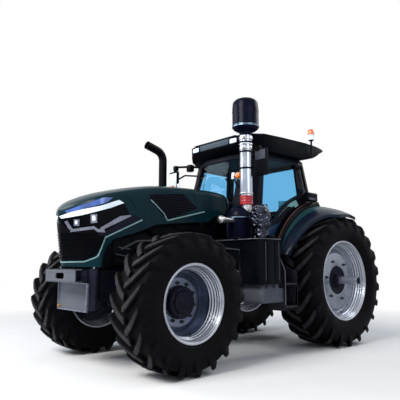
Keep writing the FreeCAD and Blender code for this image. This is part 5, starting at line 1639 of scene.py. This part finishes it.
# The white ring and fixing glow a little, a painted glow on parts that are no lamps.
lamp = turned("lamp", rounded_profile([(1606, 0), (1606, 40), (1640, 46), (1648, 46), (1650, 0)], 4, 2), TURN,
              glowing_white, "X", 40)
lens = turned("lens", rounded_profile([(1648, 0), (1648, 43), (1682, 41), (1694, 30), (1698, 0)], 8, 3), TURN,
              warning_orange, "X", 40)
rear_lens = turned("rear_lens", rounded_profile([(1606, 0), (1604, 36), (1590, 32), (1586, 0)], 6, 3), TURN,
                   warning_orange, "X", 40)
fixing = plate("fixing", [(540, 2262), (588, 2262), (600, 2344), (552, 2350)], "X", 1628, 1644, glowing_white, 5)
arm = tube("lamp_arm", [(1400, 508, 2180), (1560, 560, 2196), (1634, 580, 2290), (1634, 650, 2290)], 11,
           black_plastic)
put_on(joined("turn_lamps", *both_sides([lamp, lens, rear_lens, fixing, arm])), "chassis", "marker_lamps",
       slot="orange_lens")
print("turn lamp centre", TURN[1:])

# %% [markdown]
# The tail lamps are box shaped cases on the fenders with a red and an orange field
# to the rear. Plates with rounded edges are enough, because a lens this small shows
# its colour and its gloss, and nothing of what lies behind it.

# %% Tail lamps
CASE_Y, FIELD_Y = (802, 903), (812, 893)
lens_red = hard_finish("lens_red", (0.45, 0.01, 0.008), (0.1, 0.2), 0.15, 30.0, (120.0, 0.05), 0.0, Coat_Weight=0.3)
tails = [
    block("case", 184, 418, *CASE_Y, 2052, 2178, black_plastic, 20, 4),
    block("red_field", 178, 186, *FIELD_Y, 2066, 2112, lens_red, 3),
    block("orange_field", 178, 186, *FIELD_Y, 2118, 2164, warning_orange, 3),
    # The grey strip on the case's side is a painted highlight.
    block("shine", 250, 400, 900, 906, 2066, 2100, box_grey, 3),
    block("lamp_foot", 230, 330, 716, 806, 2082, 2148, black_plastic, 8),
]
put_on(joined("tail_lamp_cases", *both_sides(tails)), "chassis", "tail_lamps", slot="orange_lens")
print("tail lamp pieces", len(tails))

# %% [markdown]
# The warning lamp is an orange dome on a white foot, carried by a thin stem beside
# the roof, and the wiper is an arm and a blade that rest in front of the screen.
# Both are thin enough that tubes and turned shapes show all that there is.

# %% Warning lamp and wiper
WARNING = (200, 830, 0)
stem = turned("stem", [(2735, 0), (2735, 14), (2980, 14), (2990, 30), (3004, 42), (3004, 0)], WARNING,
              black_plastic, "Z", 32)
# The white foot glows a little, a painted glow on a part that is no lamp.
foot = turned("white_foot", rounded_profile([(3000, 0), (3000, 48), (3064, 46), (3070, 52), (3080, 52), (3080, 0)],
                                            4, 2), WARNING, glowing_white, "Z", 48)
dome = turned("dome", rounded_profile([(3080, 0), (3080, 50), (3120, 50), (3150, 46), (3168, 30), (3170, 0)], 10, 4),
              WARNING, warning_orange, "Z", 48)
stay = block("stay", 186, 214, 700, 836, 2742, 2758, black_plastic, 3)
put_on(joined("warning_lamp", stem, foot, dome, stay), "chassis", "beacon", slot="orange_lens")
WIPER_ARM = [(1268, -391, 2660), (1332, -417, 2500), (1432, -351, 2248)]
WIPER_BLADE = [(1340, -300, 2480), (1432, -351, 2248), (1480, -390, 2080)]
blade = [tube("wiper_arm", WIPER_ARM, 8, black_plastic), tube("wiper_blade", WIPER_BLADE, 7, black_plastic)]
put_on(joined("wiper", *blade), "chassis")
print("lamps and wiper done")

# %% [markdown]
# The tanks get a thin bright lip along their shelf, seams down the side, a filler
# cap and a bracket in front, and the box below them a lid line and two latches.
# These few edges tell the eye how large the plain dark tank is.

# %% Tank trim, box details and step rail
SHELF_Z, SIDE_Y, FRONT_FACE = 1440, 1188, 1822
SHELF_LIP = [(1450, 600, SHELF_Z), (1560, 500, SHELF_Z), (FRONT_FACE, 300, SHELF_Z), (FRONT_FACE, 1118, SHELF_Z),
             (1740, SIDE_Y, SHELF_Z), (1446, SIDE_Y, SHELF_Z)]
BRACKET = [(1816, 549, 1345), (1816, 846, 1312), (1816, 842, 1043), (1816, 547, 1116)]
FILLER_CAP = [(1446, 0), (1446, 46), (1482, 46), (1490, 38), (1490, 0)]
trim = [
    tube("lip", SHELF_LIP, 6, line_grey, 8),
    tube("bracket", BRACKET, 9, line_grey, 8),
    block("seam", 1718, 1724, 1168, 1182, 940, 1400, line_grey, 1),
    block("seam_rear", 1470, 1476, 1172, 1182, 940, 1400, line_grey, 1),
    block("cap_base", 1780, 1850, 760, 830, 1446, 1476, black_plastic, 8),
    turned("cap", rounded_profile(FILLER_CAP, 5, 3), (1540, 1120, 0), black_plastic, "Z", 32),
    block("lid_line", 1334, 1722, 1124, 1133, 868, 874, step_dark, 1),
    block("latch", 1500, 1540, 1126, 1137, 846, 886, step_dark, 3),
    block("latch_front", 1640, 1680, 1126, 1137, 846, 886, step_dark, 3),
    block("box_front", 1700, 1727, 824, 1128, 690, 884, grey_paint, 5),
    tube("step_rail", [(1326, 1075, 1217), (1326, 1151, 1056), (1326, 1150, 640)], 9, line_grey, 8),
]
put_on(joined("tank_trim", *both_sides(trim)), "chassis")
print("trim done")

# %% [markdown]
# Seat fabric is woven: threads cross at right angles, and each crossing is a small
# bump. Modelled threads would cost millions of faces, so two wave textures multiply
# into the weave, fine enough to show only as a soft, broken shine.

# %% Woven fabric
def woven_fabric():
    material = hard_finish("woven_fabric", (0.012, 0.03, 0.075), (0.75, 0.9), 0.2, 7.0, (900.0, 0.25), 0.0,
                           Specular_IOR_Level=0.1, Sheen_Weight=0.25)
    tree = material.node_tree
    place = step(tree, "ShaderNodeTexCoord", {}).outputs["Object"]
    warp = step(tree, "ShaderNodeTexWave", {"Vector": place, "Scale": 260.0}, bands_direction="X")
    weft = step(tree, "ShaderNodeTexWave", {"Vector": place, "Scale": 260.0}, bands_direction="Z")
    both = step(tree, "ShaderNodeMath", {0: warp.outputs["Fac"], 1: weft.outputs["Fac"]}, operation="MULTIPLY")
    bump = step(tree, "ShaderNodeBump", {"Height": both.outputs[0], "Strength": 0.35, "Distance": 0.001})
    tree.links.new(bump.outputs["Normal"], tree.nodes["Principled BSDF"].inputs["Normal"])
    return material


fabric = woven_fabric()
print("fabric", fabric.name)

# %% [markdown]
# The driver's seat is foam under that fabric. Each cushion is a rounded slab that
# swells as cloth under a small pressure, so its faces crown and its edges stay
# round, and a short loop keeps every point within a few centimetres of the slab.

# %% Seat cushions
VOXEL, PRESSURE, LAST_FRAME, MOST_SWELL = 0.012, 4.0, 20, 0.016


def cushion(piece):
    """Remeshes the slab, swells it as cloth and keeps the result as a plain mesh."""
    remesh = piece.modifiers.new("remesh", "REMESH")
    remesh.mode, remesh.voxel_size = "VOXEL", VOXEL
    applied(piece)
    before = [v.co.copy() for v in piece.data.vertices]
    cloth = piece.modifiers.new("swell", "CLOTH")
    cloth.settings.use_pressure = True
    cloth.settings.uniform_pressure_force = PRESSURE
    cloth.settings.effector_weights.gravity = 0.0
    cloth.settings.quality = 4
    for frame_number in range(1, LAST_FRAME + 1):
        scene.frame_set(frame_number)
    applied(piece)
    scene.frame_set(1)
    for vert, old in zip(piece.data.vertices, before):
        move = vert.co - old
        if move.length > MOST_SWELL:
            vert.co = old + move.normalized() * MOST_SWELL
    finer = piece.modifiers.new("finer", "SUBSURF")
    finer.levels = 1
    applied(piece)
    piece.data.shade_smooth()
    return piece


BACK = [(588, 1690), (668, 1690), (594, 2060), (520, 2060)]
HEAD_REST = [(528, 2086), (586, 2086), (570, 2240), (512, 2240)]
seat_base = block("seat_base", 590, 1040, -232, 232, 1568, 1672, fabric, 34, 5)
seat_back = plate("seat_back", BACK, "Y", -212, 212, fabric, 28, 5)
head_rest = plate("head_rest", HEAD_REST, "Y", -120, 120, fabric, 24, 5)
pad = joined("seat_pads", *[cushion(piece) for piece in (seat_base, seat_back, head_rest)])
pad.data.shade_smooth()
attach(pad, "chassis")
print("seat pad faces", len(pad.data.polygons))

# %% [markdown]
# The cushions rest in a moulded shell on a tray, a stand with rubber bellows and two
# posts for the head rest. The bellows are a row of thin plates, which is all that
# shows of folded rubber in the shade under a seat.

# %% Seat frame
SEAT_SHELL = [(560, 1640), (590, 1640), (515, 2060), (490, 2060)]
shell = plate("seat_shell", SEAT_SHELL, "Y", -200, 200, black_plastic, 10, 3)
posts = [tube("post", [(540, y, 2050), (524, y, 2130)], 8, clamp_steel) for y in (-50, 50)]
stand = block("stand", 650, 950, -170, 170, 1222, 1480, black_plastic, 14, 3)
tray = block("seat_tray", 600, 1020, -220, 220, 1500, 1566, black_plastic, 14, 3)
bellows = [block("fold", 662, 938, -158, 158, 1480 + 4 * k, 1483 + 4 * k, black_plastic, 1) for k in range(5)]
arm_rest = block("arm_rest", 640, 960, 252, 300, 1790, 1830, black_plastic, 14, 3)
arm_post = tube("arm_post", [(620, 262, 1812), (610, 226, 1800)], 16, black_plastic)
put_on(joined("seat_frame", shell, stand, tray, *posts, *bellows, arm_rest, arm_post), "chassis", "seat",
       slot="seat_fabric")
print("bellows folds", len(bellows))

# %% [markdown]
# Inside the cab, mint coloured panels line the wheel arches beside the seat. They
# are seen only through the glass, so two plates with eased edges on each side carry
# the colour where it shows.

# %% Panels beside the seat
mint = hard_finish("mint_trim", (0.36, 0.62, 0.60), (0.5, 0.65), 0.15, 5.0, (200.0, 0.1), 0.0,
                   Specular_IOR_Level=0.15)
PANEL = [(741, 2046), (483, 2070), (491, 1985), (640, 1905), (748, 1852)]
PANEL_LOW = [(735, 1838), (640, 1886), (560, 1930), (560, 1960), (640, 1930), (735, 1878)]
panels = [plate("panel", PANEL, "Y", 606, 614, mint, 4), plate("panel_low", PANEL_LOW, "Y", 604, 612, mint, 3)]
put_on(joined("side_trim", *both_sides(panels)), "chassis")
print("panels", 2 * len(panels))

# %% [markdown]
# The cab's sides lean in twice, below and above the waist, and curve with the door.
# A thin pane that lies on such a side needs its Y worked out at every point, so a
# small function gives the side's half width from the door posts' own lines.

# %% Panes on the cab's leaning side
WAIST, CAB_HEIGHT = 1950, 740
# X and half width at the waist, and their change up to the roof, when it leans
FRONT_POST, REAR_POST = ((1310, 690), (-160, -30)), ((280, 780), (90, -80))


def cab_side(x, z):
    """Half width of the cab's leaning side at a place on it, in millimetres."""
    if z < WAIST:
        front, rear = (1300, 680), (320, 770)
    else:
        up = (z - WAIST) / CAB_HEIGHT
        front, rear = [tuple(foot + change * up for foot, change in zip(*post)) for post in (FRONT_POST, REAR_POST)]
    share = (front[0] - x) / (front[0] - rear[0])
    return front[1] + (rear[1] - front[1]) * share


def side_pane(name, inner, outer, material):
    """A thin pane on the cab's side between two edges with the same number of points."""
    points = [at(x, cab_side(x, z) + lift, z) for lift in (3.0, 6.0) for edge in (inner, outer) for x, z in edge]
    n = len(inner)
    faces = [(base + k, base + k + 1, base + n + k + 1, base + n + k) for base in (0, 2 * n) for k in range(n - 1)]
    rim = list(range(n)) + list(range(2 * n - 1, n - 1, -1))
    faces += [(a, b, b + 2 * n, a + 2 * n) for a, b in zip(rim, rim[1:] + rim[:1])]
    return link_mesh(name, clean_mesh(name, points, faces), [material])


# %% [markdown]
# Along the fender's arch a narrow window curves round the door: clear mint at the
# top and deep blue at the foot, and the door carries one more blue pane low in
# front. Two finishes and three outlines on the leaning side make them all.

# %% Arch panes and the doors' low panes
pane_blue = hard_finish("pane_blue", (0.012, 0.035, 0.085), (0.1, 0.18), 0.25, 3.0, (200.0, 0.02), 0.0,
                        Specular_IOR_Level=0.15)
pane_mint = hard_finish("pane_mint", (0.20, 0.42, 0.42), (0.12, 0.2), 0.2, 3.0, (200.0, 0.02), 0.0,
                        Specular_IOR_Level=0.15)
PANE_R, PANE_ANGLES = 1172, (30, 38, 46, 54, 60, 66)
DOOR_EDGE = [(1098, 1500), (1024, 1640), (896, 1812), (748, 1938), (640, 2012), (520, 2066)]
LOW_INNER = [(1106, 1330), (1076, 1500), (1000, 1680), (850, 1840)]
LOW_OUTER = [(1250, 1330), (1236, 1500), (1060, 1696), (884, 1874)]
arch_edge = [(arc_point(PANE_R, 0, a)[0], arc_point(PANE_R, 0, a)[2]) for a in PANE_ANGLES]
mint_pane = side_pane("mint_pane", arch_edge[2:], DOOR_EDGE[2:], pane_mint)
blue_pane = side_pane("blue_pane", arch_edge[:3], DOOR_EDGE[:3], pane_blue)
put_on(joined("arch_panes", *both_sides([mint_pane, blue_pane])), "chassis")
low_pane = side_pane("low_pane_left", LOW_INNER, LOW_OUTER, pane_blue)
put_on(mirrored_copy(low_pane, "low_pane_right"), "right_door")
put_on(low_pane, "left_door")
print("panes done")
